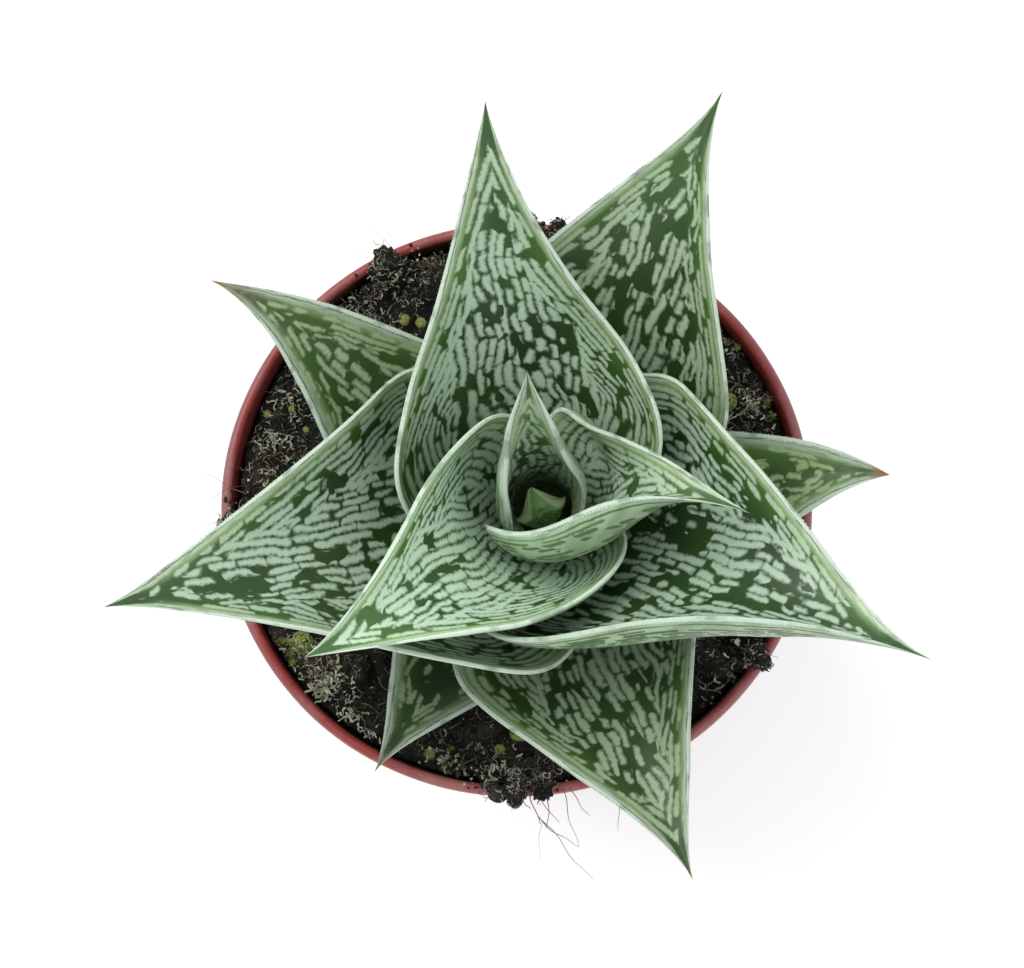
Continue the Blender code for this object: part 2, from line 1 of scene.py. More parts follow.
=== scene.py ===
"""Potted tribal aloe: toothed leaves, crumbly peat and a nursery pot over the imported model.

Lengths are in millimetres, unless it says metres, and become metres when a mesh is made.
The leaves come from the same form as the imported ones, drawn with more stations and a round edge.
"""

import json
import logging
import math
import random
from collections.abc import Callable, Iterable, Iterator, Sequence
from dataclasses import dataclass, field
from enum import Enum

import bpy
import numpy as np
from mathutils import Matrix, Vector, noise
from mathutils.bvhtree import BVHTree


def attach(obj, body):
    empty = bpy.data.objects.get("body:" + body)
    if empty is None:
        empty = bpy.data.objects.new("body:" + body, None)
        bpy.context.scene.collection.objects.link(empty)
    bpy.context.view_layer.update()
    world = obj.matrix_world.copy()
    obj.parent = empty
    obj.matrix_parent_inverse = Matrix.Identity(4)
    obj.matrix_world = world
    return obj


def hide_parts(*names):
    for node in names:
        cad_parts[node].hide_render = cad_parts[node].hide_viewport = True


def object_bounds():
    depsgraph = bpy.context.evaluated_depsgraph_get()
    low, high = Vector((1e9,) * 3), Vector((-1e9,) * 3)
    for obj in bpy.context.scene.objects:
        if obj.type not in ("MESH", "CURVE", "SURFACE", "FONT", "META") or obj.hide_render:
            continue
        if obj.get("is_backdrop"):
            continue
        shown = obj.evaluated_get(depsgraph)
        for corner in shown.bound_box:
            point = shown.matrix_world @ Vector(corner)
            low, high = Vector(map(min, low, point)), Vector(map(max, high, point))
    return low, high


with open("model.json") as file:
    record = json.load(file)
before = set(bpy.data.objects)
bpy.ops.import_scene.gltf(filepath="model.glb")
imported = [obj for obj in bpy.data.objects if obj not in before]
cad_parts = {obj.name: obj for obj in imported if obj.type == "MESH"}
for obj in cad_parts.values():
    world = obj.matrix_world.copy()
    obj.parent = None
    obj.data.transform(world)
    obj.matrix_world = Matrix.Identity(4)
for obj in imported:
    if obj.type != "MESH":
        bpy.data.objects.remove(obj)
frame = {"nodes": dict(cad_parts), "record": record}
CAD_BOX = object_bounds()

LOG = logging.getLogger("aloe")
MM = 0.001  # in metres
BODY = "root"
UP = np.array([0.0, 0.0, 1.0])
DOWN = Vector((0.0, 0.0, -1.0))

RIM_HEIGHT = 93.0
RIM_RADIUS = 52.5
RIM_OVAL = 0.011  # how far the rim is out of round
AXIS = np.array([4.0, -2.4])
LEAF_GAP = 0.65
TOOTH_PITCH = 0.46  # between two teeth of a leaf's edge
COARSE_STATIONS = 18
COARSE_ACROSS = 10
LAST_STATION = 0.97
EDGE_CROWDING = 1.1  # power by which the coarse points crowd at the edge
SKIN_MAP = "Skin"
PLACE_MAP = "Place"
TONE_MAP = "Tone"
HUNDRED = 100.0
TURN = 2.0 * math.pi
MERGED = 1e-6  # metres within which doubled points are one


def srgb(red: int, green: int, blue: int) -> tuple[float, float, float, float]:
    """Linear colour of a screen colour from 0 to 255."""
    parts = (red, green, blue)
    return (*(((c / 255 + 0.055) / 1.055) ** 2.4 if c > 10 else c / 3294.6 for c in parts), 1.0)


def toned(colour: tuple, share: float) -> tuple:
    """A linear colour made lighter or darker by a share of its screen brightness."""
    return (*(part * share**2.2 for part in colour[:3]), 1.0)


def ease(x: float | np.ndarray) -> float | np.ndarray:
    """Smooth step from 0 to 1."""
    x = np.clip(x, 0.0, 1.0)
    return x * x * (3.0 - 2.0 * x)


def unit(v: np.ndarray) -> np.ndarray:
    """The vector at length 1."""
    return v / max(float(np.linalg.norm(v)), 1e-9)


def heading_vector(degrees: float) -> np.ndarray:
    """The level direction at this angle from +X."""
    return np.array([math.cos(math.radians(degrees)), math.sin(math.radians(degrees)), 0.0])


def out_from(x: float, y: float, turn: float, far: float) -> tuple[float, float]:
    """The x and y that lie this far from a place in a direction, in radians."""
    return x + far * math.cos(turn), y + far * math.sin(turn)


class Side(Enum):
    """Which face of a leaf a point is on, as its place map holds it."""

    UPPER = 0.0
    EDGE = 0.5
    LOWER = 1.0


class Bits(Enum):
    """The kinds of small bits in the peat, by the name of their piece."""

    PEAT = "peat_crumbs"
    CRUST = "crust_crumbs"
    DEBRIS = "fibre_debris"
    PERLITE = "perlite"
    ROOTS = "root_fibres"
    CUSHIONS = "moss_cushions"
    SPRIGS = "moss_sprigs"


@dataclass(frozen=True)
class Signal:
    """A node's output, which takes part in sums like a number."""

    wiring: "Wiring"
    socket: bpy.types.NodeSocket

    def __add__(self, other: "Signal | float") -> "Signal":
        """Sum."""
        return self.wiring.math("ADD", self, other)

    def __sub__(self, other: "Signal | float") -> "Signal":
        """Difference."""
        return self.wiring.math("SUBTRACT", self, other)

    def __rsub__(self, other: float) -> "Signal":
        """Difference from a number."""
        return self.wiring.math("SUBTRACT", other, self)

    def __mul__(self, other: "Signal | float") -> "Signal":
        """Product."""
        return self.wiring.math("MULTIPLY", self, other)

    def __truediv__(self, other: "Signal | float") -> "Signal":
        """Quotient."""
        return self.wiring.math("DIVIDE", self, other)

    def __abs__(self) -> "Signal":
        """Size without its sign."""
        return self.wiring.math("ABSOLUTE", self)

    def floor(self) -> "Signal":
        """Whole part."""
        return self.wiring.math("FLOOR", self)

    def at_least(self, other: "Signal | float") -> "Signal":
        """The larger of the two."""
        return self.wiring.math("MAXIMUM", self, other)

    def at_most(self, other: "Signal | float") -> "Signal":
        """The smaller of the two."""
        return self.wiring.math("MINIMUM", self, other)

    def smooth(self, off: float, on: float) -> "Signal":
        """Smooth step of this value from 0 to 1.

        Args:
            off: value up to which the step gives 0.
            on: value from which it gives 1, above off or below it.

        Returns:
            The stepped value.
        """
        falls = off > on
        sockets = {
            "Value": self,
            "From Min": min(off, on),
            "From Max": max(off, on),
            "To Min": 1.0 if falls else 0.0,
            "To Max": 0.0 if falls else 1.0,
        }
        step = "SMOOTHSTEP"
        return self.wiring.first("ShaderNodeMapRange", sockets, interpolation_type=step)


class Wiring:
    """Writes the nodes of one material as sums of signals."""

    def __init__(self, name: str) -> None:
        """Starts a material.

        Args:
            name: name of the finish.
        """
        self.material = bpy.data.materials.new(name)
        self.material.use_nodes = True
        self.tree = self.material.node_tree
        self.shader = self.tree.nodes["Principled BSDF"]

    def node(
        self, kind: str, sockets: dict[int | str, object] | None = None, **settings: object
    ) -> bpy.types.Node:
        """A new node.

        Args:
            kind: Blender's name for it.
            sockets: what goes into its inputs, by their place or name.
            settings: its properties.

        Returns:
            The node.
        """
        made = self.tree.nodes.new(kind)
        for name, value in settings.items():
            setattr(made, name, value)
        for socket, value in (sockets or {}).items():
            self.feed(made.inputs[socket], value)
        return made

    def first(
        self, kind: str, sockets: dict[int | str, object], **settings: object
    ) -> Signal:
        """The first output of a new node, which takes what node takes."""
        return Signal(self, self.node(kind, sockets, **settings).outputs[0])

    def feed(self, socket: bpy.types.NodeSocket, value: object) -> None:
        """Links a signal to a socket, or sets the socket's own value."""
        if isinstance(value, Signal):
            self.tree.links.new(value.socket, socket)
        else:
            socket.default_value = value

    def math(self, operation: str, *values: Signal | float) -> Signal:
        """One Math node over the values."""
        return self.first("ShaderNodeMath", dict(enumerate(values)), operation=operation)

    def parts(self, vector: Signal) -> tuple[Signal, Signal, Signal]:
        """The three numbers of a vector or colour."""
        node = self.node("ShaderNodeSeparateXYZ", {0: vector})
        return tuple(Signal(self, out) for out in node.outputs)

    def vector(self, *values: Signal | float) -> Signal:
        """A vector from up to three numbers."""
        return self.first("ShaderNodeCombineXYZ", dict(enumerate(values)))

    def scaled(self, vector: Signal, scale: tuple[float, float, float]) -> Signal:
        """The vector times a fixed scale on each axis."""
        return self.first("ShaderNodeMapping", {"Vector": vector, "Scale": scale})

    def noise(
        self, vector: Signal, scale: float, detail: float, rough: float = 0.5
    ) -> tuple[Signal, Signal]:
        """Soft noise.

        Args:
            vector: where it is read.
            scale: lumps in each unit of the vector.
            detail: octaves.
            rough: how strong each finer octave is.

        Returns:
            Its level, and its colour for three levels at once.
        """
        sockets = {"Vector": vector, "Scale": scale, "Detail": detail, "Roughness": rough}
        node = self.node("ShaderNodeTexNoise", sockets)
        return Signal(self, node.outputs[0]), Signal(self, node.outputs[1])

    def lots(self, *values: Signal | float) -> tuple[Signal, Signal, Signal]:
        """Three random numbers that go with these values."""
        sockets = {"Vector": self.vector(*values)}
        node = self.node("ShaderNodeTexWhiteNoise", sockets, noise_dimensions="3D")
        return self.parts(Signal(self, node.outputs["Color"]))

    def mix(self, share: Signal | float, first: object, second: object) -> Signal:
        """Two colours mixed by a share, with 1 all of the second."""
        node = self.node("ShaderNodeMix", {0: share, 6: first, 7: second}, data_type="RGBA")
        return Signal(self, node.outputs[2])

    def map(self, name: str) -> Signal:
        """The piece's own map of this name."""
        return Signal(self, self.node("ShaderNodeUVMap", uv_map=name).outputs[0])

    def place(self) -> Signal:
        """Object coordinates, in metres."""
        return Signal(self, self.node("ShaderNodeTexCoord").outputs["Object"])

    def bump(self, height: Signal, strength: float, metres: float) -> None:
        """Relief from a height signal."""
        sockets = {"Strength": strength, "Distance": metres, "Height": height}
        self.feed(self.shader.inputs["Normal"], self.first("ShaderNodeBump", sockets))

    def finish(self, **sockets: object) -> bpy.types.Material:
        """Sets the shader's sockets, whose names have _ for a space, and gives the material."""
        for name, value in sockets.items():
            self.feed(self.shader.inputs[name.replace("_", " ")], value)
        return self.material


@dataclass(frozen=True)
class LeafSkin:
    """Waxy leaf skin: dark green ground, pale dashes in columns, pale edges and a dry tip."""

    name: str
    seed: float
    pitch: float  # across one column of dashes
    dry_length: float
    faded: float  # millimetres of the tip that have gone a tired grey
    warmth: float  # share by which an older leaf is yellower
    cover: float  # how much more of the skin than usual the dashes take up
    rim_width: float  # width of the pale edge over the usual
    clean: float = 1.8  # width of the edge strip that holds no dashes
    dark: tuple = srgb(30, 54, 28)
    dark_edge: tuple = srgb(72, 110, 38)
    dark_tip: tuple = srgb(62, 92, 54)
    pale: tuple = srgb(166, 187, 164)
    pale_warm: tuple = srgb(172, 195, 142)
    edge: tuple = srgb(186, 202, 182)
    under: tuple = srgb(154, 176, 142)
    under_dark: tuple = srgb(66, 94, 46)
    dry: tuple = srgb(140, 88, 58)
    tired: tuple = srgb(128, 122, 102)
    inner_edge_and_light: tuple = srgb(206, 218, 176)  # edge and back of the innermost leaf: its own paler colour, lightened further as painted light
    inner_under_and_light: tuple = srgb(122, 152, 98)
    roughness: float = 0.45

    def dashes(
        self, w: Wiring, column: Signal, along: Signal, lot: Signal | float, full: Signal
    ) -> Signal:
        """How far a point lies outside the nearest round-ended dash.

        Args:
            w: the material's wiring.
            column: place across, in columns.
            along: place along the leaf, in millimetres.
            lot: tells one family of columns from another.
            full: how much more of its cell a dash fills, about 0.

        Returns:
            The distance in millimetres, less than 0 inside.
        """
        index = column.floor()
        first, second, third = w.lots(index, lot, self.seed)
        cell = (first * 3.6 + 3.4) * (third.smooth(0.62, 0.68) * 1.7 + 1.0)
        step = along / cell + second * 9.0
        row = step.floor()
        size, shift, fat = w.lots(index + lot * 3.1, row, self.seed + 7.0)
        across = (column - index - 0.5 + (shift - 0.5) * 0.16) * self.pitch
        half = (size * 0.24 + full * 0.6 + 0.27).at_least(0.0).at_most(0.49)
        radius = ((fat * 0.16 + full * 0.16 + 0.26) * self.pitch).at_most(half * cell)
        middle = (shift - 0.5) * (0.5 - half) * 1.6 + 0.5
        beyond = (abs(step - row - middle) * cell - (half * cell - radius)).at_least(0.0)
        gone = (fat + full).smooth(0.11, 0.05) * self.pitch
        return w.math("SQRT", across * across + beyond * beyond) - radius + gone

    def build(self) -> bpy.types.Material:
        """The material."""
        w = Wiring(self.name)
        s, along, _ = w.parts(w.map(SKIN_MAP))
        side, half, _ = w.parts(w.map(PLACE_MAP))
        along, half = along * HUNDRED, half * HUNDRED
        across = s * half
        edge = half - abs(across)
        spot = w.vector(across, along, self.seed * 11.0)
        _, wide = w.noise(spot, 0.055, 2.0)
        _, fine = w.noise(spot, 0.4, 1.0)
        wide_x, wide_y, patch = w.parts(wide)
        fine_x, fine_y, fleck = w.parts(fine)
        cluster, _ = w.noise(w.scaled(spot, (0.36, 0.17, 1.0)), 1.0, 1.0)
        loose = edge.smooth(1.5, 7.0)
        bent_x = across + ((wide_x - 0.5) * 7.0 + (fine_x - 0.5) * 0.8) * loose
        bent_y = along + (wide_y - 0.5) * 6.0 + (fine_y - 0.5) * 1.2
        bent_edge = half - abs(bent_x)

        # Columns that keep to the edge outside and to the midrib inside meet in forks
        inner = bent_edge - half * 0.5 - (patch - 0.5) * half * 0.8 - half.smooth(9.0, 3.0) * half
        full = (cluster - 0.5) * 1.3 + edge.smooth(7.0, 3.0) * 0.06 + (self.cover + 0.02)
        full = full - along.smooth(40.0, 14.0) * 0.14
        lot = w.math("SIGN", s) * 5.0 + 20.0
        by_edge = self.dashes(w, (bent_edge - self.clean) / self.pitch, bent_y, lot, full)
        by_rib = self.dashes(w, bent_x / self.pitch, bent_y, 3.0, full)
        by_edge = by_edge + (inner - 0.5).at_least(0.0) * 0.8
        by_rib = by_rib + (inner * -1.0 - 0.5).at_least(0.0) * 0.8
        ragged, _ = w.noise(spot, 1.3, 1.0)
        outside = by_edge.at_most(by_rib) + (fleck - 0.5) * 0.3 + (ragged - 0.5) * 0.8
        bare = (4.0 - along).at_least(0.0) * 0.3 + (self.clean + 0.2 - edge).at_least(0.0) * 1.5
        dash = (outside + bare).smooth(0.38, -0.34)

        warm = (edge.smooth(8.0, 2.0) * 0.8 + self.warmth * 0.35).at_most(1.0)
        ground = w.mix(warm, self.dark, self.dark_edge)
        # Painted shade: the ground is lighter towards the tip and darker further down, towards the
        # rosette's shaded middle
        ground = w.mix(along.smooth(34.0, 4.0), ground, self.dark_tip)
        ground = w.mix((patch - 0.3).at_least(0.0), ground, self.dark_edge)
        ground = w.mix(outside.smooth(0.55, 0.0) * 0.5, ground, self.dark_tip)
        warm = (edge.smooth(8.0, 2.0) * 0.25 + self.warmth).at_most(1.0)
        light = w.mix(warm, self.pale, self.pale_warm)
        light = w.mix(outside.smooth(-0.5, 0.1) * 0.18 + (1.0 - fleck) * 0.2, light, self.dark_tip)
        upper = w.mix(dash, ground, light)

        # A pale, mottled edge that fades into the green, with thin dark lines that come and go, and
        # painted shadows of the teeth along it
        rim = edge * w.math("DIVIDE", 3.2, half).at_least(1.0) * (1.0 / self.rim_width)
        # Painted tooth shadows: dark ticks at the teeth's pitch, just inside the edge
        tooth_shadows = w.math("SINE", along * (TURN / TOOTH_PITCH) + ragged * 9.0)
        tooth_shadows = tooth_shadows.smooth(0.35, 0.9) * rim.smooth(0.6, 0.4) * rim.smooth(0.06, 0.16)
        tooth_shadows = tooth_shadows * (wide_x * 3.0 - 0.9).at_least(0.0)
        rim = rim + (patch - 0.5) * 0.7 + (ragged - 0.5) * 0.3 + (fleck - 0.5) * 0.3
        streak, _ = w.noise(w.vector(edge * 1.9, along * 0.3, self.seed * 5.0), 1.0, 1.0)
        band = w.mix(0.45, self.pale_warm, self.edge)
        band = w.mix(streak.smooth(0.42, 0.66) * 0.42, band, self.dark_tip)
        upper = w.mix(rim.smooth(2.5, 1.3) * half.smooth(1.5, 7.0) * 0.5, upper, self.pale_warm)
        upper = w.mix(rim.smooth(1.5, 0.9) * 0.8, upper, band)
        upper = w.mix(rim.smooth(0.95, 0.45), upper, self.edge)
        hair = rim.smooth(0.3, 0.4) * rim.smooth(0.62, 0.5)
        hair = hair * (wide_y * 2.6 - 0.8).at_least(0.0).at_most(0.8)
        worn = streak.smooth(0.52, 0.68) * rim.smooth(0.9, 0.4) * 0.5
        upper = w.mix((hair + worn + tooth_shadows * 0.45).at_most(0.8), upper, self.dark_tip)

        # The back is paler, with dark flecks in rows that keep to the edge
        row = (bent_edge - 1.8) / (self.pitch * 0.75)
        back = self.dashes(w, row, bent_y * 1.5, 41.0, full * -0.5 - 0.02)
        flecks = (back + (ragged - 0.5) * 1.0 - 0.11).smooth(0.16, -0.2) * edge.smooth(1.9, 2.5)
        seam = rim.smooth(1.1, 1.24) * rim.smooth(1.66, 1.5)
        seam = seam * (wide_y * 3.4 - 1.0).at_least(0.0).at_most(0.85)
        lower = w.mix(cluster.smooth(0.4, 0.64) * 0.34, self.under, self.dark_tip)
        flecks = (flecks * 0.85 + seam).at_most(0.9) * along.smooth(1.0, 4.0)
        lower = w.mix(flecks, lower, self.under_dark)
        lower = w.mix(rim.smooth(0.62, 0.42), lower, self.edge)
        # Painted tooth shadows on the back's edge as well
        lower = w.mix((worn + tooth_shadows * 0.55).at_most(0.8), lower, self.dark_tip)

        colour = w.mix(side.smooth(0.45, 0.6), upper, lower)
        tired = (along + (ragged - 0.5) * 4.0).smooth(self.faded, self.faded * 0.3)
        colour = w.mix(tired * (streak.smooth(0.3, 0.6) * 0.5 + 0.3), colour, self.tired)
        dry = along + (fleck - 0.5) * 1.2
        colour = w.mix(dry.smooth(self.dry_length * 1.5, self.dry_length * 0.5), colour, self.dry)
        ribs, _ = w.noise(w.scaled(spot, (1.7, 0.1, 1.0)), 1.0, 2.0)
        pores, _ = w.noise(spot, 5.0, 1.0)
        w.bump(ribs * 0.6 + pores * 0.14 + dash * 0.12, 0.35, 0.00022)
        return w.finish(
            Base_Color=colour,
            Roughness=(pores - 0.5) * 0.16 + (patch - 0.5) * 0.12 + self.roughness,
            Subsurface_Weight=0.06,
            Subsurface_Scale=0.001,
            Subsurface_Radius=(0.7, 1.0, 0.35),
            Specular_IOR_Level=0.32,
            Coat_Weight=0.04,
            Coat_Roughness=0.35,
        )


@dataclass(frozen=True)
class PotPlastic:
    """Thin brick-red pot plastic with a dusty lip, a greyer purple band at its outer edge, dried
    splashes and painted shade on the inner wall.
    """

    name: str = "pot_plastic_worn"
    red: tuple = srgb(142, 54, 50)
    deep: tuple = srgb(112, 40, 38)
    dust: tuple = srgb(166, 120, 116)
    stain: tuple = srgb(60, 40, 34)
    lip_edge_band: tuple = srgb(134, 92, 98)  # a greyer purple band along the outer edge of the lip
    shade: tuple = srgb(46, 22, 20)  # painted shade on the inner wall above the peat

    def build(self) -> bpy.types.Material:
        """The material."""
        w = Wiring(self.name)
        spot = w.place()
        x, y, height = w.parts(spot)
        cloud, _ = w.noise(spot, 70.0, 4.0, 0.6)
        grit, _ = w.noise(spot, 900.0, 2.0, 0.6)
        specks, _ = w.noise(spot, 420.0, 3.0, 0.7)
        streaks, _ = w.noise(w.scaled(spot, (160.0, 160.0, 9.0)), 1.0, 3.0)
        colour = w.mix(cloud.smooth(0.3, 0.75) * 0.5, self.red, self.deep)
        lip = height.smooth(RIM_HEIGHT * MM - 0.0012, RIM_HEIGHT * MM - 0.0002)
        dusty = lip * cloud.smooth(0.4, 0.75) * 0.6
        dusty = dusty + streaks.smooth(0.52, 0.72) * 0.2 + grit.smooth(0.5, 0.7) * 0.16
        colour = w.mix(dusty.at_most(0.85), colour, self.dust)
        colour = w.mix(specks.smooth(0.66, 0.7) * 0.8, colour, self.stain)
        radius = w.math("SQRT", x * x + y * y) * (1.0 / MM)
        lip_edge_band = radius.smooth(RIM_RADIUS - 0.7, RIM_RADIUS - 0.1) * lip * 0.55
        colour = w.mix(lip_edge_band, colour, self.lip_edge_band)
        # Painted shade: the inner wall between the lip and the peat is darkened, as it lies in the
        # pot's own shadow
        inner = radius.smooth(RIM_RADIUS - 1.9, RIM_RADIUS - 2.5)
        inner = inner * height.smooth((RIM_HEIGHT - 0.4) * MM, (RIM_HEIGHT - 1.6) * MM)
        inner = inner * height.smooth((RIM_HEIGHT - 12.6) * MM, (RIM_HEIGHT - 11.8) * MM)
        colour = w.mix(inner * 0.92, colour, self.shade)
        w.bump(grit * 0.35 + cloud * 0.6 + streaks * 0.3, 0.25, 0.00025)
        return w.finish(
            Base_Color=colour,
            Roughness=cloud * 0.25 + dusty * 0.25 + 0.24,
            Specular_IOR_Level=0.42,
            Subsurface_Weight=0.03,
            Subsurface_Scale=0.001,
        )


@dataclass(frozen=True)
class PeatLook:
    """Rough bits that each take their own tone between two colours."""

    name: str
    low: tuple = srgb(15, 15, 13)
    high: tuple = srgb(60, 54, 46)
    fleck: tuple = srgb(110, 104, 90)
    mapped: bool = True
    roughness: float = 0.92

    def build(self) -> bpy.types.Material:
        """The material."""
        w = Wiring(self.name)
        spot = w.place()
        clods, _ = w.noise(spot, 520.0, 4.0, 0.65)
        grain, _ = w.noise(spot, 2600.0, 2.0, 0.6)
        if self.mapped:
            tone, _, _ = w.parts(w.map(TONE_MAP))
        else:
            tone, _ = w.noise(spot, 160.0, 3.0, 0.6)
            tone = tone.smooth(0.42, 0.85)
        tone = (tone * 0.8 + (clods - 0.5) * 0.5).at_least(0.0).at_most(1.0)
        colour = w.mix(tone, self.low, self.high)
        colour = w.mix(grain.smooth(0.62, 0.72) * 0.5, colour, self.fleck)
        w.bump(clods * 0.7 + grain * 0.4, 0.6, 0.0004)
        return w.finish(Base_Color=colour, Roughness=self.roughness, Specular_IOR_Level=0.2)


# Finish of the crust, and of each kind of bits on it
CRUST_LOOK = PeatLook(
    "peat_crusted", srgb(17, 17, 14), srgb(70, 64, 54), srgb(150, 146, 128), mapped=False
)
LOOKS = {
    Bits.PEAT: PeatLook("peat_crumb"),
    Bits.CRUST: PeatLook(
        "crusty_grain", srgb(66, 66, 52), srgb(210, 210, 180), srgb(220, 220, 196)
    ),
    Bits.DEBRIS: PeatLook(
        "fibre_debris", srgb(38, 34, 28), srgb(192, 186, 168), srgb(132, 122, 104), roughness=0.8
    ),
    Bits.PERLITE: PeatLook(
        "perlite_grain", srgb(196, 192, 182), srgb(226, 224, 216), srgb(176, 168, 156)
    ),
    Bits.ROOTS: PeatLook(
        "root_fibre", srgb(66, 54, 42), srgb(168, 156, 132), srgb(96, 80, 60), roughness=0.75
    ),
    Bits.CUSHIONS: PeatLook(
        "moss_green", srgb(76, 88, 42), srgb(166, 174, 98), srgb(190, 196, 130), roughness=0.8
    ),
    Bits.SPRIGS: PeatLook(
        "sprig_green", srgb(58, 70, 30), srgb(120, 132, 62), srgb(150, 160, 96), roughness=0.8
    ),
}


@dataclass(frozen=True)
class StemSkin:
    """Dull stem skin with dry leaf scars round it, both darkened as painted shade, as the stem lies
    deep between the youngest leaves.
    """

    name: str = "stem_skin_scarred"
    # Painted shade: both colours are darkened for the deep shadow between the youngest leaves
    fresh: tuple = srgb(58, 76, 42)
    scar: tuple = srgb(44, 56, 32)

    def build(self) -> bpy.types.Material:
        """The material."""
        w = Wiring(self.name)
        spot = w.place()
        _, _, height = w.parts(spot)
        cloud, _ = w.noise(spot, 260.0, 4.0, 0.6)
        rings = w.math("SINE", height * 2300.0 + cloud * 5.0)
        colour = w.mix(rings.smooth(0.1, 0.9), self.fresh, self.scar)
        w.bump(rings * 0.5 + cloud, 0.5, 0.0004)
        return w.finish(Base_Color=colour, Roughness=cloud * 0.3 + 0.5)


@dataclass(frozen=True)
class Floor:
    """Plain pale floor with the faintest unevenness."""

    name: str = "pale_floor"
    pale: tuple = (0.88, 0.88, 0.88, 1.0)
    paler: tuple = (0.91, 0.91, 0.91, 1.0)
    glow: float = 0.23  # lit from below, as a light table is
    glow_colour: tuple = (0.94, 1.0, 0.9, 1.0)

    def build(self) -> bpy.types.Material:
        """The material."""
        w = Wiring(self.name)
        cloud, _ = w.noise(w.place(), 6.0, 2.0)
        return w.finish(
            Base_Color=w.mix(cloud, self.pale, self.paler),
            Roughness=0.85,
            Specular_IOR_Level=0.2,
            Emission_Color=self.glow_colour,
            Emission_Strength=self.glow,
        )


class Bench:
    """Where meshes are started and joined with Blender's own tools."""

    @staticmethod
    def clear_choice() -> None:
        """Leaves edit mode and deselects everything."""
        if bpy.context.object and bpy.context.object.mode != "OBJECT":
            bpy.ops.object.mode_set(mode="OBJECT")
        bpy.ops.object.select_all(action="DESELECT")

    @classmethod
    def choose(cls, piece: bpy.types.Object, *others: bpy.types.Object) -> None:
        """Selects these pieces alone, the first one active."""
        cls.clear_choice()
        for chosen in (piece, *others):
            chosen.select_set(True)
        bpy.context.view_layer.objects.active = piece

    @classmethod
    def apply(cls, piece: bpy.types.Object, kind: str, **settings: object) -> None:
        """Puts a modifier with these settings on a piece and applies it."""
        cls.choose(piece)
        step = piece.modifiers.new(kind.title(), kind)
        for name, value in settings.items():
            setattr(step, name, value)
        bpy.ops.object.modifier_apply(modifier=step.name)

    @staticmethod
    def keep(name: str) -> bpy.types.Object:
        """Names the primitive just added, and its mesh."""
        piece = bpy.context.object
        piece.name = piece.data.name = name
        return piece

    @classmethod
    def sheet(
        cls, name: str, places: np.ndarray, maps: dict[str, np.ndarray] | None = None
    ) -> bpy.types.Object:
        """A closed skin laid over a grid of places whose doubled seams are then merged.

        Args:
            name: name of the piece.
            places: rows by columns of points in millimetres.
            maps: two numbers for each point, by the name of the map that holds them.

        Returns:
            The piece, faces outwards.
        """
        rows, columns = places.shape[:2]
        cls.clear_choice()
        bpy.ops.mesh.primitive_grid_add(
            x_subdivisions=columns - 1, y_subdivisions=rows - 1, size=1.0, calc_uvs=False
        )
        piece = cls.keep(name)
        mesh = piece.data
        flat = np.empty(len(mesh.vertices) * 3)
        mesh.vertices.foreach_get("co", flat)
        flat = flat.reshape(-1, 3)
        column = np.rint((flat[:, 0] + 0.5) * (columns - 1)).astype(int)
        row = np.rint((flat[:, 1] + 0.5) * (rows - 1)).astype(int)
        mesh.vertices.foreach_set("co", (places[row, column] * MM).ravel())
        for title, values in (maps or {}).items():
            cls.write_map(mesh, title, values[row, column])
        mesh.update()
        bpy.ops.object.mode_set(mode="EDIT")
        bpy.ops.mesh.select_all(action="SELECT")
        bpy.ops.mesh.remove_doubles(threshold=MERGED)
        bpy.ops.mesh.normals_make_consistent(inside=False)
        bpy.ops.object.mode_set(mode="OBJECT")
        bpy.ops.object.shade_smooth()
        return piece

    @staticmethod
    def write_map(mesh: bpy.types.Mesh, title: str, values: np.ndarray) -> None:
        """Writes a map from two numbers for each vertex.

        Args:
            mesh: the mesh.
            title: name of the map.
            values: the numbers, a row for each vertex.
        """
        layer = mesh.uv_layers.new(name=title)
        corners = np.empty(len(mesh.loops), dtype=int)
        mesh.loops.foreach_get("vertex_index", corners)
        layer.data.foreach_set("uv", values[corners].astype(np.float32).ravel())

    @classmethod
    def from_shapes(cls, name: str, shapes: "ShapeBin", smooth: bool) -> bpy.types.Object:
        """One piece from all the small shapes of a bin.

        Args:
            name: name of the piece.
            shapes: the bin.
            smooth: whether its faces are shaded smooth.

        Returns:
            The piece.
        """
        cls.clear_choice()
        mesh = bpy.data.meshes.new(name)
        mesh.from_pydata((np.concatenate(shapes.points) * MM).tolist(), [], shapes.faces)
        piece = bpy.data.objects.new(name, mesh)
        bpy.context.scene.collection.objects.link(piece)
        for title, values in shapes.maps.items():
            cls.write_map(mesh, title, np.concatenate(values))
        mesh.polygons.foreach_set("use_smooth", [smooth] * len(mesh.polygons))
        mesh.update()
        return piece

    @classmethod
    def join(cls, whole: bpy.types.Object, extra: bpy.types.Object) -> None:
        """Joins one piece into another."""
        cls.choose(whole, extra)
        bpy.ops.object.join()

    @classmethod
    def cut(cls, whole: bpy.types.Object, cutter: bpy.types.Object) -> None:
        """Cuts one piece out of another and takes the cutter away."""
        cls.apply(whole, "BOOLEAN", operation="DIFFERENCE", solver="EXACT", object=cutter)
        bpy.data.objects.remove(cutter, do_unlink=True)


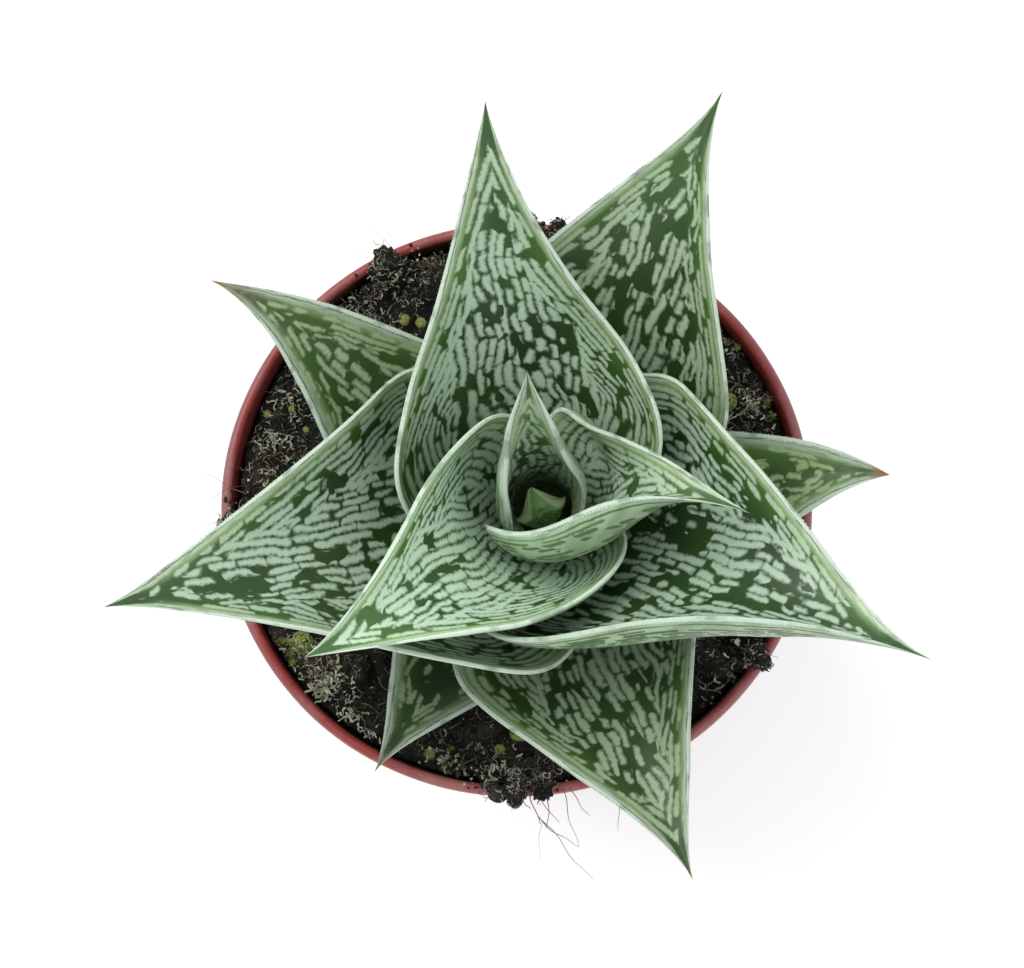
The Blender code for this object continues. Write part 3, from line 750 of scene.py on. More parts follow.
@dataclass
class ShapeBin:
    """Gathers small closed shapes that become one piece."""

    points: list[np.ndarray] = field(default_factory=list)
    faces: list[tuple[int, ...]] = field(default_factory=list)
    maps: dict[str, list[np.ndarray]] = field(default_factory=dict)
    count: int = 0

    def add(
        self, points: np.ndarray, faces: Iterable[Sequence[int]], **maps: tuple[float, float]
    ) -> None:
        """Puts a shape in the bin.

        Args:
            points: its points in millimetres.
            faces: its faces, by point.
            maps: two numbers for the whole shape, by map.
        """
        self.points.append(points)
        self.faces += [tuple(int(k) + self.count for k in face) for face in faces]
        for title, pair in maps.items():
            values = np.tile(np.asarray(pair, float), (len(points), 1))
            self.maps.setdefault(title, []).append(values)
        self.count += len(points)

    def bit(self, points: np.ndarray, faces: Iterable[Sequence[int]], tone: float) -> None:
        """Puts in a shape that has one tone."""
        self.add(points, faces, **{TONE_MAP: (tone, 0.0)})

    def tube(self, path: np.ndarray, radii: np.ndarray, tone: float, sides: int = 5) -> None:
        """Adds a thin tube with closed ends.

        Args:
            path: points along it.
            radii: its radius at each point.
            tone: its place between the two colours of its finish.
            sides: corners of its section.
        """
        steps = np.gradient(path, axis=0)
        steps /= np.maximum(np.linalg.norm(steps, axis=1), 1e-9)[:, None]
        helper = UP if abs(float(steps[:, 2].mean())) < 0.9 else np.array([1.0, 0.0, 0.0])
        first = np.cross(steps, helper)
        first /= np.maximum(np.linalg.norm(first, axis=1), 1e-9)[:, None]
        second = np.cross(steps, first)
        angle = (TURN * np.arange(sides) / sides)[None, :, None]
        ring = np.cos(angle) * first[:, None] + np.sin(angle) * second[:, None]
        points = (path[:, None] + ring * radii[:, None, None]).reshape(-1, 3)
        faces = []
        for i in range(len(path) - 1):
            for j in range(sides):
                a, b = i * sides + j, i * sides + (j + 1) % sides
                faces.append((a, b, b + sides, a + sides))
        end = (len(path) - 1) * sides
        faces += [tuple(range(sides - 1, -1, -1)), tuple(range(end, end + sides))]
        self.bit(points, faces, tone)


@dataclass(frozen=True)
class Leaf:
    """One leaf: where it sits, where its tip is, and how wide, cupped and thick it is."""

    name: str
    heading: float  # degrees from +X at the seat
    tip: tuple[float, float, float]  # x, y and height over the rim
    seat: float  # height over the rim
    ring: float  # radius of the seat round the axis
    rise: tuple[float, float]  # slope at the seat and at the tip, degrees
    half_width: float
    wrap: float  # half angle round the stem at the seat
    cup: float  # half angle of the section at mid length
    roll: float  # turn of the section about the spine, low down
    point_roll: float  # the same near the tip
    open_at: float  # where the section has opened from the wrap to the cup
    belly: float
    point: float
    point_cup: float = 35.0  # half angle of the section near the tip
    veer: float = 0.0  # sideways turn of the spine's end, degrees
    reach: tuple[float, float] = (0.36, 0.33)
    wide_at: float = 0.28
    body: float = 3.4  # thickness at the keel over that of the margin
    margin: float = 0.8
    thin_at: float = 0.4  # share of the width under which the leaf grows thinner

    @property
    def point_place(self) -> np.ndarray:
        """The tip."""
        return np.array([self.tip[0], self.tip[1], RIM_HEIGHT + self.tip[2]])

    def spine(self, t: float) -> tuple[np.ndarray, np.ndarray]:
        """The midrib at t.

        Args:
            t: share of the way from the seat to the tip.

        Returns:
            Its point and its direction.
        """
        out = heading_vector(self.heading)
        start = np.array([AXIS[0], AXIS[1], RIM_HEIGHT + self.seat]) + self.ring * out
        end = self.point_place
        chord = float(np.linalg.norm(end - start))
        first, last = (math.radians(a) for a in self.rise)
        flat = end - start
        onward = heading_vector(math.degrees(math.atan2(flat[1], flat[0])) + self.veer)
        near = start + self.reach[0] * chord * (math.cos(first) * out + math.sin(first) * UP)
        far = end - self.reach[1] * chord * (math.cos(last) * onward + math.sin(last) * UP)
        u = 1.0 - t
        place = u**3 * start + 3 * u * u * t * near + 3 * u * t * t * far + t**3 * end
        along = 3 * u * u * (near - start) + 6 * u * t * (far - near) + 3 * t * t * (end - far)
        return place, unit(along)

    def frame(self, t: float) -> tuple[np.ndarray, np.ndarray, np.ndarray]:
        """The section's own axes.

        Args:
            t: share of the way from the seat to the tip.

        Returns:
            Spine point, sideways direction and the direction that the upper face looks in.
        """
        place, along = self.spine(t)
        level = unit(np.array([along[0], along[1], 0.0]))
        if level @ heading_vector(self.heading) < 0.0:  # a leaf that leans in over the centre
            level = -level
        across = np.array([-level[1], level[0], 0.0])
        low = ease(t / 0.3)
        face = unit((1.0 - low) * -level + low * np.cross(along, across))
        roll = self.roll * ease(t / 0.3) + (self.point_roll - self.roll) * ease((t - 0.3) / 0.7)
        c, s = math.cos(math.radians(roll)), math.sin(math.radians(roll))
        return place, across * c + face * s, face * c - across * s

    def width(self, t: float) -> float:
        """Half width measured along the section."""
        seat = self.ring * math.radians(self.wrap)
        if t < self.wide_at:
            return seat + (self.half_width - seat) * math.sin(0.5 * math.pi * t / self.wide_at)
        q = (t - self.wide_at) / (1.0 - self.wide_at)
        return self.half_width * (1.0 - q**self.belly) ** self.point

    def bend(self, t: float) -> float:
        """Half angle of the section, in radians."""
        angle = self.wrap + (self.cup - self.wrap) * ease((t - 0.04) / (self.open_at - 0.04))
        return math.radians(angle + (self.point_cup - self.cup) * ease((t - 0.5) / 0.5))

    def shrink(self, t: float) -> float:
        """Share of the full thickness that is left where the leaf narrows to its tip."""
        if t <= self.wide_at:
            return 1.0
        return min(1.0, self.width(t) / (self.thin_at * self.half_width))

    def section(self, t: float, s: np.ndarray) -> tuple[np.ndarray, np.ndarray, np.ndarray]:
        """The section at t.

        Args:
            t: share of the way from the seat to the tip.
            s: places across, from -1 at one margin to 1 at the other.

        Returns:
            Upper points, lower points and the directions that lead into the leaf's hollow.
        """
        place, across, face = self.frame(t)
        width, bend = self.width(t), self.bend(t)
        power = 1.0 - 0.45 * ease((t - 0.25) / 0.7)
        fine = np.linspace(0.0, 1.0, 121)
        angle = bend * fine**power
        step = np.diff(fine)
        run, lift = (
            np.concatenate([[0.0], np.cumsum((part[1:] + part[:-1]) / 2 * step)])
            for part in (np.cos(angle), np.sin(angle))
        )
        part = np.abs(s)
        x = np.interp(part, fine, run) * np.sign(s) * width
        y = np.interp(part, fine, lift) * width
        lean = bend * part**power * np.sign(s)
        full = self.body * (0.25 + 0.75 * ease((t - 0.05) / 0.4))
        full = full * (1.0 - 0.35 * ease((t - 0.4) / 0.6))
        fade = 2.4 - 1.2 * ease((t - 0.1) / 0.8)
        thick = (self.margin + full * (1.0 - part**fade)) * self.shrink(t)
        inward = np.outer(-np.sin(lean), across) + np.outer(np.cos(lean), face)
        upper = place + np.outer(x, across) + np.outer(y, face)
        return upper, upper - inward * thick[:, None], inward

    def coarse(self) -> tuple[np.ndarray, np.ndarray, np.ndarray]:
        """Upper points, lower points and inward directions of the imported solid's grid."""
        s = np.linspace(-1.0, 1.0, COARSE_ACROSS + 1)
        s = np.sign(s) * (1.0 - (1.0 - np.abs(s)) ** EDGE_CROWDING)
        rows = [self.section(t, s) for t in np.linspace(0.0, LAST_STATION, COARSE_STATIONS)]
        return tuple(np.array([row[k] for row in rows]) for k in range(3))


@dataclass(frozen=True)
class Settling:
    """Lays each leaf clear of the younger ones inside it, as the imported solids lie."""

    depth: float = 7.0  # how deep a younger leaf is looked for
    times: int = 3  # finer stations for the look
    rounds: int = 4
    spread: int = 14

    def finer(self, grid: np.ndarray) -> np.ndarray:
        """A grid of points with more rows and columns, straight between the old ones."""
        rows, cols = grid.shape[:2]
        i = np.linspace(0, rows - 1, (rows - 1) * self.times + 1)
        j = np.linspace(0, cols - 1, (cols - 1) * self.times + 1)
        i0, j0 = np.minimum(i.astype(int), rows - 2), np.minimum(j.astype(int), cols - 2)
        u, v = (i - i0)[:, None, None], (j - j0)[None, :, None]
        return (
            (1 - u) * (1 - v) * grid[np.ix_(i0, j0)]
            + u * (1 - v) * grid[np.ix_(i0 + 1, j0)]
            + (1 - u) * v * grid[np.ix_(i0, j0 + 1)]
            + u * v * grid[np.ix_(i0 + 1, j0 + 1)]
        )

    def push(self, upper: np.ndarray, inward: np.ndarray, tree: BVHTree) -> np.ndarray:
        """How far each point must move outwards.

        Args:
            upper: the leaf's upper points.
            inward: its inward directions.
            tree: the younger leaves.

        Returns:
            The move of each point of the coarse grid.
        """
        fine, facing = self.finer(upper), self.finer(inward)
        push = np.zeros(fine.shape[:2])
        for i, j in np.ndindex(push.shape):
            way = unit(facing[i, j])
            start = Vector(fine[i, j] - way * self.depth)
            hit = tree.ray_cast(start, Vector(way), self.depth + LEAF_GAP)
            if hit[0] is not None:
                push[i, j] = self.depth + LEAF_GAP - hit[3]
                continue
            near = tree.find_nearest(Vector(fine[i, j]), LEAF_GAP)
            if near[0] is not None:
                push[i, j] = LEAF_GAP - near[3]
        coarse = np.zeros(upper.shape[:2])
        for i, j in np.ndindex(coarse.shape):
            rows, columns = (
                slice(max(k - 1, 0) * self.times, (k + 1) * self.times + 1) for k in (i, j)
            )
            coarse[i, j] = push[rows, columns].max()
        return self.eased(coarse)

    def eased(self, push: np.ndarray) -> np.ndarray:
        """The push spread over its neighbours, never less than it was."""
        soft = push.copy()
        for _ in range(self.spread):
            padded = np.pad(soft, 1, mode="edge")
            shifts = [(a, b) for a in range(3) for b in range(3)]
            total = sum(padded[a : a + soft.shape[0], b : b + soft.shape[1]] for a, b in shifts)
            soft = np.maximum(push, total / len(shifts))
        return soft

    @staticmethod
    def skin(
        upper: np.ndarray, lower: np.ndarray, tip: np.ndarray
    ) -> tuple[np.ndarray, list[tuple[int, ...]]]:
        """Points and triangles of one coarse leaf.

        Args:
            upper: its upper points.
            lower: its lower points.
            tip: its tip.

        Returns:
            The points and the triangles.
        """
        rows, across = upper.shape[:2]
        ring = 2 * across
        rings = np.concatenate([upper, lower[:, ::-1]], axis=1)
        points = np.concatenate([rings.reshape(-1, 3), [tip]])
        faces = []
        for i in range(rows - 1):
            for j in range(ring):
                a, b = i * ring + j, i * ring + (j + 1) % ring
                faces += [(a, b + ring, b), (a, a + ring, b + ring)]
        last, end = (rows - 1) * ring, rows * ring
        faces += [(last + j, end, last + (j + 1) % ring) for j in range(ring)]
        for j in range(across - 1):
            a, b, c, d = j, j + 1, ring - 1 - j, ring - 2 - j
            faces += [(a, b, d), (a, d, c)]
        return points, faces

    def settle(self, leaves: Sequence[Leaf]) -> list[np.ndarray]:
        """How far each leaf's coarse points are moved.

        Args:
            leaves: the leaves, youngest first.

        Returns:
            The move of each point of each leaf's coarse grid.
        """
        moves, points, faces = [], [], []
        for leaf in leaves:
            upper, lower, inward = leaf.coarse()
            total = np.zeros_like(upper)
            if points:
                tree = BVHTree.FromPolygons([Vector(p) for p in points], faces)
                for _ in range(self.rounds):
                    push = self.push(upper + total, inward, tree)
                    if push.max() <= 0.0:
                        break
                    total -= inward * push[:, :, None]
            moves.append(total)
            more, triangles = self.skin(upper + total, lower + total, leaf.point_place)
            faces += [tuple(k + len(points) for k in triangle) for triangle in triangles]
            points += list(more)
        return moves


@dataclass(frozen=True)
class LeafBuilder:
    """Draws one leaf finely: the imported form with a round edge, soft waves and small teeth."""

    stations: int = 110
    across: int = 44  # points from margin to margin on each face
    edge_points: int = 3
    wave: float = 0.34  # height of the soft waves in the skin
    waves_from: float = 0.1  # share of the way to the tip at which the waves start
    # Size of the rings by which the point narrows
    point_rings: tuple[float, ...] = (0.8, 0.6, 0.42, 0.26, 0.13, 0.04)
    easing: int = 14  # rounds in which kinks are smoothed
    tooth_pitch: float = TOOTH_PITCH
    tooth_height: float = 0.46
    tooth_width: float = 0.17
    tooth_sizes: tuple[float, float] = (0.55, 1.15)
    tooth_steps: tuple[float, float] = (0.7, 1.4)  # least and greatest pitch
    tooth_leans: tuple[float, float] = (0.2, 0.6)  # towards the tip, to its height
    tooth_root: float = 0.12  # how deep it stands in the edge
    toothless: tuple[float, float] = (0.12, 2.0)  # share at the seat and millimetres at the tip

    def moved(self, move: np.ndarray, t: float, s: np.ndarray) -> np.ndarray:
        """The settling move between the coarse points, smooth in both directions.

        Args:
            move: the move of each coarse point.
            t: share of the way to the tip.
            s: places across.

        Returns:
            The move at each place.
        """
        flat = np.sign(s) * (1.0 - (1.0 - np.abs(s)) ** (1.0 / EDGE_CROWDING))
        j = (flat + 1.0) * 0.5 * COARSE_ACROSS
        i = min(t / LAST_STATION, 1.0) * (COARSE_STATIONS - 1)
        row = self.curve(move, np.array([i]))[0]
        return self.curve(row, j) * min(1.0, (1.0 - t) / (1.0 - LAST_STATION))

    @staticmethod
    def curve(values: np.ndarray, at: np.ndarray) -> np.ndarray:
        """Smooth curve through rows of values.

        Args:
            values: the rows.
            at: places along them, counted in rows.

        Returns:
            The value at each place.
        """
        top = len(values) - 1
        i = np.clip(np.floor(at).astype(int), 0, top - 1)
        u = (at - i).reshape((-1,) + (1,) * (values.ndim - 1))
        p = [values[np.clip(i + k, 0, top)] for k in (-1, 0, 1, 2)]
        return 0.5 * (
            2 * p[1]
            + (p[2] - p[0]) * u
            + (2 * p[0] - 5 * p[1] + 4 * p[2] - p[3]) * u**2
            + (3 * p[1] - p[0] - 3 * p[2] + p[3]) * u**3
        )

    def ring(
        self, leaf: Leaf, move: np.ndarray, t: float, seed: float
    ) -> tuple[np.ndarray, np.ndarray, np.ndarray]:
        """One closed ring of the leaf.

        Args:
            leaf: the leaf.
            move: its settling move.
            t: share of the way to the tip.
            seed: tells its waves from another leaf's.

        Returns:
            The ring's points, their places across and their sides.
        """
        half = leaf.width(t)
        shrink = leaf.shrink(t)
        radius = 0.5 * leaf.margin * shrink
        last = max(0.5, 1.0 - radius / max(half, 1e-3))
        s = np.sin(np.linspace(-0.5, 0.5, self.across) * math.pi * 0.94)
        s = s / s[-1] * last
        upper, lower, inward = leaf.section(t, s)
        shift = self.moved(move, t, s)
        if t > self.waves_from:
            height = np.array([self.swell(a * half, t, seed) for a in s])
            height = self.wave * ease((t - self.waves_from) * 5) * shrink * height
            shift = shift + inward * height[:, None]
        upper, lower = upper + shift, lower + shift
        rings, places, sides = [upper], [s], [np.full(len(s), Side.UPPER.value)]
        for side, pick in ((1.0, -1), (-1.0, 0)):
            middle = 0.5 * (upper[pick] + lower[pick])
            normal = 0.5 * (upper[pick] - lower[pick])
            beside = upper[pick] - upper[pick - 1 if pick else 1]
            out = unit(beside - normal * (beside @ normal) / max(float(normal @ normal), 1e-9))
            reach = float(np.linalg.norm(normal))
            turn = np.linspace(0.0, math.pi, self.edge_points + 2)[1:-1]
            if side < 0:
                turn = turn[::-1]
            arc = middle + np.outer(np.cos(turn), normal) + np.outer(np.sin(turn), out) * reach
            rings.append(arc)
            places.append(np.full(self.edge_points, side))
            sides.append(turn / math.pi)
            if side > 0:
                rings.append(lower[::-1])
                places.append(s[::-1])
                sides.append(np.full(len(s), Side.LOWER.value))
        points, at, face = np.concatenate(rings), np.concatenate(places), np.concatenate(sides)
        close = [*range(len(points)), 0]
        return points[close], at[close], face[close]

    @staticmethod
    def swell(across: float, t: float, seed: float) -> float:
        """Height of the soft waves at a place across, in millimetres, and along."""
        broad = noise.noise(Vector((across * 0.11, t * 7.0, seed)))
        return broad + 0.4 * noise.noise(Vector((across * 0.3, t * 22.0, seed)))

    def build(self, leaf: Leaf, move: np.ndarray, seed: float) -> bpy.types.Object:
        """The leaf with its teeth.

        Args:
            leaf: the leaf.
            move: its settling move.
            seed: number that sets its waves and teeth.

        Returns:
            The piece.
        """
        steps = np.linspace(0.0, 1.0, self.stations)
        steps = LAST_STATION * (0.4 * steps + 0.6 * np.sin(steps * math.pi / 2))
        rings = [self.ring(leaf, move, float(t), seed) for t in steps]
        halves = [leaf.width(float(t)) for t in steps]
        for share in self.point_rings:
            last_points, last_across, last_sides = rings[self.stations - 1]
            size = share * (1.25 - 0.25 * share)
            drawn = leaf.point_place + (last_points - leaf.point_place) * size
            rings.append((drawn, last_across, last_sides))
            halves.append(halves[self.stations - 1] * share)
        tip = np.tile(leaf.point_place, (len(rings[0][0]), 1))
        cap = rings[0][0][self.seat_order()]
        places = self.eased(np.array([cap, *(r[0] for r in rings), tip]))
        across = np.array([rings[0][1], *(r[1] for r in rings), rings[-1][1]])
        sides = np.array([rings[0][2], *(r[2] for r in rings), rings[-1][2]])
        halves = np.array([halves[0], *halves, 0.02])
        middle = places[:, self.across // 2]
        gaps = np.linalg.norm(np.diff(middle, axis=0), axis=1)
        to_tip = np.concatenate([np.cumsum(gaps[::-1])[::-1], [0.0]])
        shape = across.shape
        skin_map = np.stack([across, np.tile(to_tip[:, None] / HUNDRED, shape[1])], axis=2)
        place_map = np.stack([sides, np.tile(halves[:, None] / HUNDRED, shape[1])], axis=2)
        piece = Bench.sheet(leaf.name + "_skin", places, {SKIN_MAP: skin_map, PLACE_MAP: place_map})
        Bench.join(piece, self.teeth(leaf, places, to_tip, halves, seed))
        return piece

    def eased(self, places: np.ndarray) -> np.ndarray:
        """Rounds the kinks that run across the leaf, its seat and its point kept.

        Args:
            places: the leaf's rows of points.

        Returns:
            The same rows, each drawn towards the middle of its neighbours.
        """
        rows = places.copy()
        stop = self.stations - 8
        for _ in range(self.easing):
            before, after = rows[1 : stop - 1], rows[3 : stop + 1]
            rows[2:stop] = 0.25 * before + 0.5 * rows[2:stop] + 0.25 * after
        return rows

    def seat_order(self) -> list[int]:
        """For the row that closes the seat, the point of the ring that each point folds on to."""
        order = [*range(self.across), *[self.across - 1] * self.edge_points]
        order += range(self.across - 1, -1, -1)
        return order + [0] * (self.edge_points + 1)

    def teeth(
        self, leaf: Leaf, places: np.ndarray, to_tip: np.ndarray, halves: np.ndarray, seed: float
    ) -> bpy.types.Object:
        """Small pale teeth along both margins.

        Args:
            leaf: the leaf.
            places: its grid of points.
            to_tip: each row's distance from the tip.
            halves: each row's half width.
            seed: number that sets their sizes.

        Returns:
            A piece to join to the leaf.
        """
        lots = random.Random(int(seed * 1000))
        teeth = ShapeBin()
        rows, mid = places[1:-1], self.edge_points // 2
        edges = (
            (1.0, self.across + mid, self.across - 1, self.across + self.edge_points),
            (-1.0, -2 - mid, 0, -2 - self.edge_points),
        )
        for side, column, above, below in edges:
            line, normals = rows[:, column], rows[:, above] - rows[:, below]
            middles = 0.5 * (rows[:, above] + rows[:, below])
            run = np.concatenate([[0.0], np.cumsum(np.linalg.norm(np.diff(line, axis=0), axis=1))])
            at = self.toothless[0] * run[-1]
            while at < run[-1] - self.toothless[1]:
                row = np.searchsorted(run, at)
                share = (at - run[row - 1]) / max(run[row] - run[row - 1], 1e-6)
                spot = line[row - 1] * (1 - share) + line[row] * share
                onward = unit(line[row] - line[row - 1])
                out = unit(line[row] - middles[row])
                size = lots.uniform(*self.tooth_sizes) * min(1.0, 0.35 + halves[1 + row] / 12.0)
                wide, tall = self.tooth_width * size, self.tooth_height * size
                thick = unit(normals[row]) * wide * 0.8
                root, wide = spot - out * self.tooth_root, onward * wide
                peak = spot + out * tall + onward * tall * lots.uniform(*self.tooth_leans)
                points = np.array([root - wide, root + thick, root + wide, root - thick, peak])
                faces = [(0, 1, 4), (1, 2, 4), (2, 3, 4), (3, 0, 4), (3, 2, 1, 0)]
                facing = np.cross(points[1] - points[0], points[4] - points[0])
                if facing @ (points[0] - points[2]) < 0:
                    faces = [face[::-1] for face in faces]
                maps = {
                    SKIN_MAP: (side, to_tip[1 + row] / HUNDRED),
                    PLACE_MAP: (Side.EDGE.value, halves[1 + row] / HUNDRED),
                }
                teeth.add(points, faces, **maps)
                at += self.tooth_pitch * lots.uniform(*self.tooth_steps)
        return Bench.from_shapes(leaf.name + "_teeth", teeth, smooth=False)


LEAVES = (
    Leaf(
        "leaf_01", 292, (2.5, -0.8, 33), 21.4, 3, (106, 116), 4.9,
        wrap=62, cup=30, point_cup=6, roll=-8, point_roll=-12,
        wide_at=0.2, open_at=0.3, belly=0.8, point=1.6, body=1,
    ),
    Leaf(
        "leaf_02", 113.1, (1.6, 14.8, 65), 20.6, 4, (88, 58), 12,
        wrap=124, cup=88, point_cup=29, roll=19, point_roll=-10, veer=3, reach=(0.35, 0.35),
        wide_at=0.23, open_at=0.56, belly=1.45, point=1.31, body=2,
    ),
    Leaf(
        "leaf_03", -28.8, (38.5, -7.9, 57), 18.4, 5.2, (65, 13), 22.7,
        wrap=122, cup=80, point_cup=34, roll=-46, point_roll=-39, veer=-19, reach=(0.43, 0.5),
        wide_at=0.29, open_at=0.55, belly=0.81, point=1.27, body=2.6,
    ),
    Leaf(
        "leaf_04", 226.2, (-35.2, -31.5, 55), 15.9, 6.2, (72, 15), 27.3,
        wrap=119, cup=57, point_cup=49, roll=-2, point_roll=8, veer=-12, reach=(0.33, 0.35),
        wide_at=0.24, open_at=0.51, belly=0.89, point=1.16,
    ),
    Leaf(
        "leaf_05", 99.6, (-5.3, 60.9, 60), 13.1, 7.2, (56, 29), 29.8,
        wrap=127, cup=44, point_cup=29, roll=4, point_roll=-15, veer=-5, reach=(0.35, 0.26),
        wide_at=0.24, open_at=0.42, belly=0.7, point=1.22,
    ),
    Leaf(
        "leaf_06", 329.6, (68.5, -31.6, 52), 10.3, 8.2, (60, 5), 33,
        wrap=115, cup=65, point_cup=46, roll=-11, point_roll=-48, veer=2, reach=(0.31, 0.41),
        wide_at=0.25, open_at=0.27, belly=1.43, point=1.46, body=4.4,
    ),
    Leaf(
        "leaf_07", 203.6, (-68.9, -22.5, 48), 7.5, 9, (54, 16), 33.3,
        wrap=107, cup=52, point_cup=34, roll=10, point_roll=17, veer=1, reach=(0.37, 0.33),
        wide_at=0.23, open_at=0.21, belly=1.06, point=1.27,
    ),
    Leaf(
        "leaf_08", 65.7, (35.2, 66.7, 42), 4.7, 9.7, (41, 15), 26.1,
        wrap=96, cup=45, point_cup=41, roll=1, point_roll=-20, veer=-1, reach=(0.39, 0.38),
        wide_at=0.3, open_at=0.32, belly=1.39, point=1.42,
    ),
    Leaf(
        "leaf_09", 285.3, (29.7, -67.4, 33), 1.9, 10.2, (34, 10), 24.8,
        wrap=90, cup=43, point_cup=34, roll=1, point_roll=-1, veer=-2, reach=(0.36, 0.32),
        open_at=0.3, belly=1.23, point=1.42,
    ),
    Leaf(
        "leaf_10", 149.6, (-53.7, 37.3, 22), -0.9, 10.6, (24, 5), 18.2,
        wrap=80, cup=41, point_cup=33, roll=-4, point_roll=5, veer=17, reach=(0.34, 0.34),
        wide_at=0.27, open_at=0.3, belly=1.12, point=1.3,
    ),
    Leaf(
        "leaf_11", 1.7, (65.2, 3.3, 19), -3.7, 10.9, (20, 5), 15.9,
        wrap=76, cup=41, point_cup=33, roll=8, point_roll=-2, veer=-16, reach=(0.35, 0.3),
        wide_at=0.27, open_at=0.3, belly=1.18, point=1.09,
    ),
    Leaf(
        "leaf_12", 238.1, (-25.1, -48.1, 8), -6.5, 11.1, (14, 4), 14.3,
        wrap=66, cup=35, roll=1, point_roll=1, veer=2, reach=(0.37, 0.32), open_at=0.3,
        belly=1.27, point=1.42,
    ),
)

# Length of the dried tip of a leaf, in millimetres, where it is more than a fleck
DRY_TIPS = {
    "leaf_03": 0.8, "leaf_08": 0.9, "leaf_09": 0.6, "leaf_10": 1.9, "leaf_11": 2.6, "leaf_12": 1,
}

# Millimetres of tip that have faded to a tired grey
FADED_TIPS = {"leaf_09": 2, "leaf_10": 11, "leaf_11": 5, "leaf_12": 6}

# How light each leaf's dashes are, how light its ground is (both partly its own tone and partly
# painted light and shade where it lies), how yellow it is, how much more of it is pale and how wide
# its pale edge is
LEAF_TONES_AND_LIGHT = {
    "leaf_01": (1.3, 1.3, 0.5, 0, 3), "leaf_02": (0.97, 0.95, 0.15, 0.08, 2),
    "leaf_03": (1.05, 1.04, 0, 0.2, 1.1), "leaf_04": (1.18, 1.1, 0, 0.18, 1),
    "leaf_05": (1, 0.84, 0.1, 0.02, 1), "leaf_06": (1.05, 0.88, 0, 0, 1.1),
    "leaf_07": (1.02, 0.82, 0.05, 0.01, 1.1), "leaf_08": (0.95, 0.82, 0.3, -0.02, 1.1),
    "leaf_09": (0.86, 0.68, 0.4, -0.03, 1.2), "leaf_10": (0.86, 0.7, 0.7, -0.08, 1.6),
    "leaf_11": (0.86, 0.9, 1, -0.08, 1.5), "leaf_12": (0.76, 0.62, 0.5, -0.12, 1.4),
}

# Root hairs over the lip: from x, y to x, y, how far they drop, and their radius
HANGING_ROOTS = (
    (2, -48.5, 4.2, -56.8, 1, 0.16), (5, -49, 5.4, -57.4, 2, 0.13),
    (3.6, -55.5, 11, -60.6, 3, 0.1), (8.2, -50.5, 11, -60.8, 3, 0.09),
    (4.6, -56, 13.4, -66.6, 6, 0.08), (4.4, -56, 4, -63.4, 4, 0.05),
    (1, -50, 7.4, -56.6, 2, 0.11), (9.6, -50.5, 13, -55.4, 1.5, 0.1),
    (17.6, -49, 18.2, -57.8, 3, 0.1), (-48.5, 2, -57.6, 6.4, 1, 0.07),
    (-49, -0.6, -56.4, -3.4, 2, 0.07), (-49.5, -2, -58, -7, 3, 0.06),
    (-48, 4, -55.6, 1, 1, 0.06), (49.5, -1, 56.6, -9.4, 4, 0.07),
    (-20, 45, -27, 51.6, 1, 0.06), (-24, 44, -31.5, 46.6, 1, 0.05),
)

# Where short fibres lie thick: x, y, spread and how many
FIBRE_NESTS = (
    (-21, 43, 6, 400), (-27, 37, 5, 200), (-14, 46.5, 3.6, 190), (-18, 45, 4, 150),
    (-43, 12.5, 5, 170), (-40, 22, 5, 120), (6, 49, 3, 60), (3, -49.5, 4.4, 320),
    (-8, -47, 5, 160), (8, -48.5, 4, 130), (-34, -31, 6.5, 300), (-39, -24.5, 4, 90),
    (41, 20, 6, 260), (39, 32, 4.5, 240), (-47, 4, 5, 150), (42, -22, 8, 240),
)

# Tufts of moss sprigs: x, y, spread and how many sprigs are tried
MOSS_TUFTS = (
    (-40, -25, 3, 7), (38, 32, 3.5, 8), (44, 17, 3, 4), (-13, -45, 4, 5),
)

# Cushions of moss: x, y and radius
MOSS_CUSHIONS = (
    (38.3, 19.6, 1.5), (36.6, 21.8, 0.9), (-20.4, 34.6, 0.9), (-17.4, 34.2, 0.8),
    (0.4, -40.4, 1.5), (-3, -43.5, 0.9), (-38.6, -24, 1.8), (-45.2, 17.4, 0.5),
    (-40.7, 18.2, 0.45), (-38.2, 14.6, 0.4), (38, 35, 1.3), (-15.5, -44, 0.9),
)

# Soil that lies over the lip: its angle and its spread, in degrees
SPILLS = ((262, 12), (274, 12), (181, 10), (84, 6), (116, 12), (327, 4))

# Heaps of crusty grains: x, y, spread and how many strings of them
CRUSTY_HEAPS = (
    (38.6, 31.9, 4.2, 62), (37, 35, 2.4, 22), (42.8, 18.3, 5, 76), (-39.1, -24.5, 3.6, 84),
    (-34.4, -31.9, 6.6, 180), (-29.5, -37, 4, 44), (-43.6, 12.4, 2.6, 60), (-41, 20, 5, 30),
    (-26, -41, 2, 16), (-13.2, -45.3, 5.6, 54), (-2.5, -46.8, 4, 56), (-19.5, 44.2, 7, 34),
    (-30.3, 35, 4.6, 30), (-45, 6, 7, 24), (38, -30, 6, 36), (8, 48, 3, 26),
)


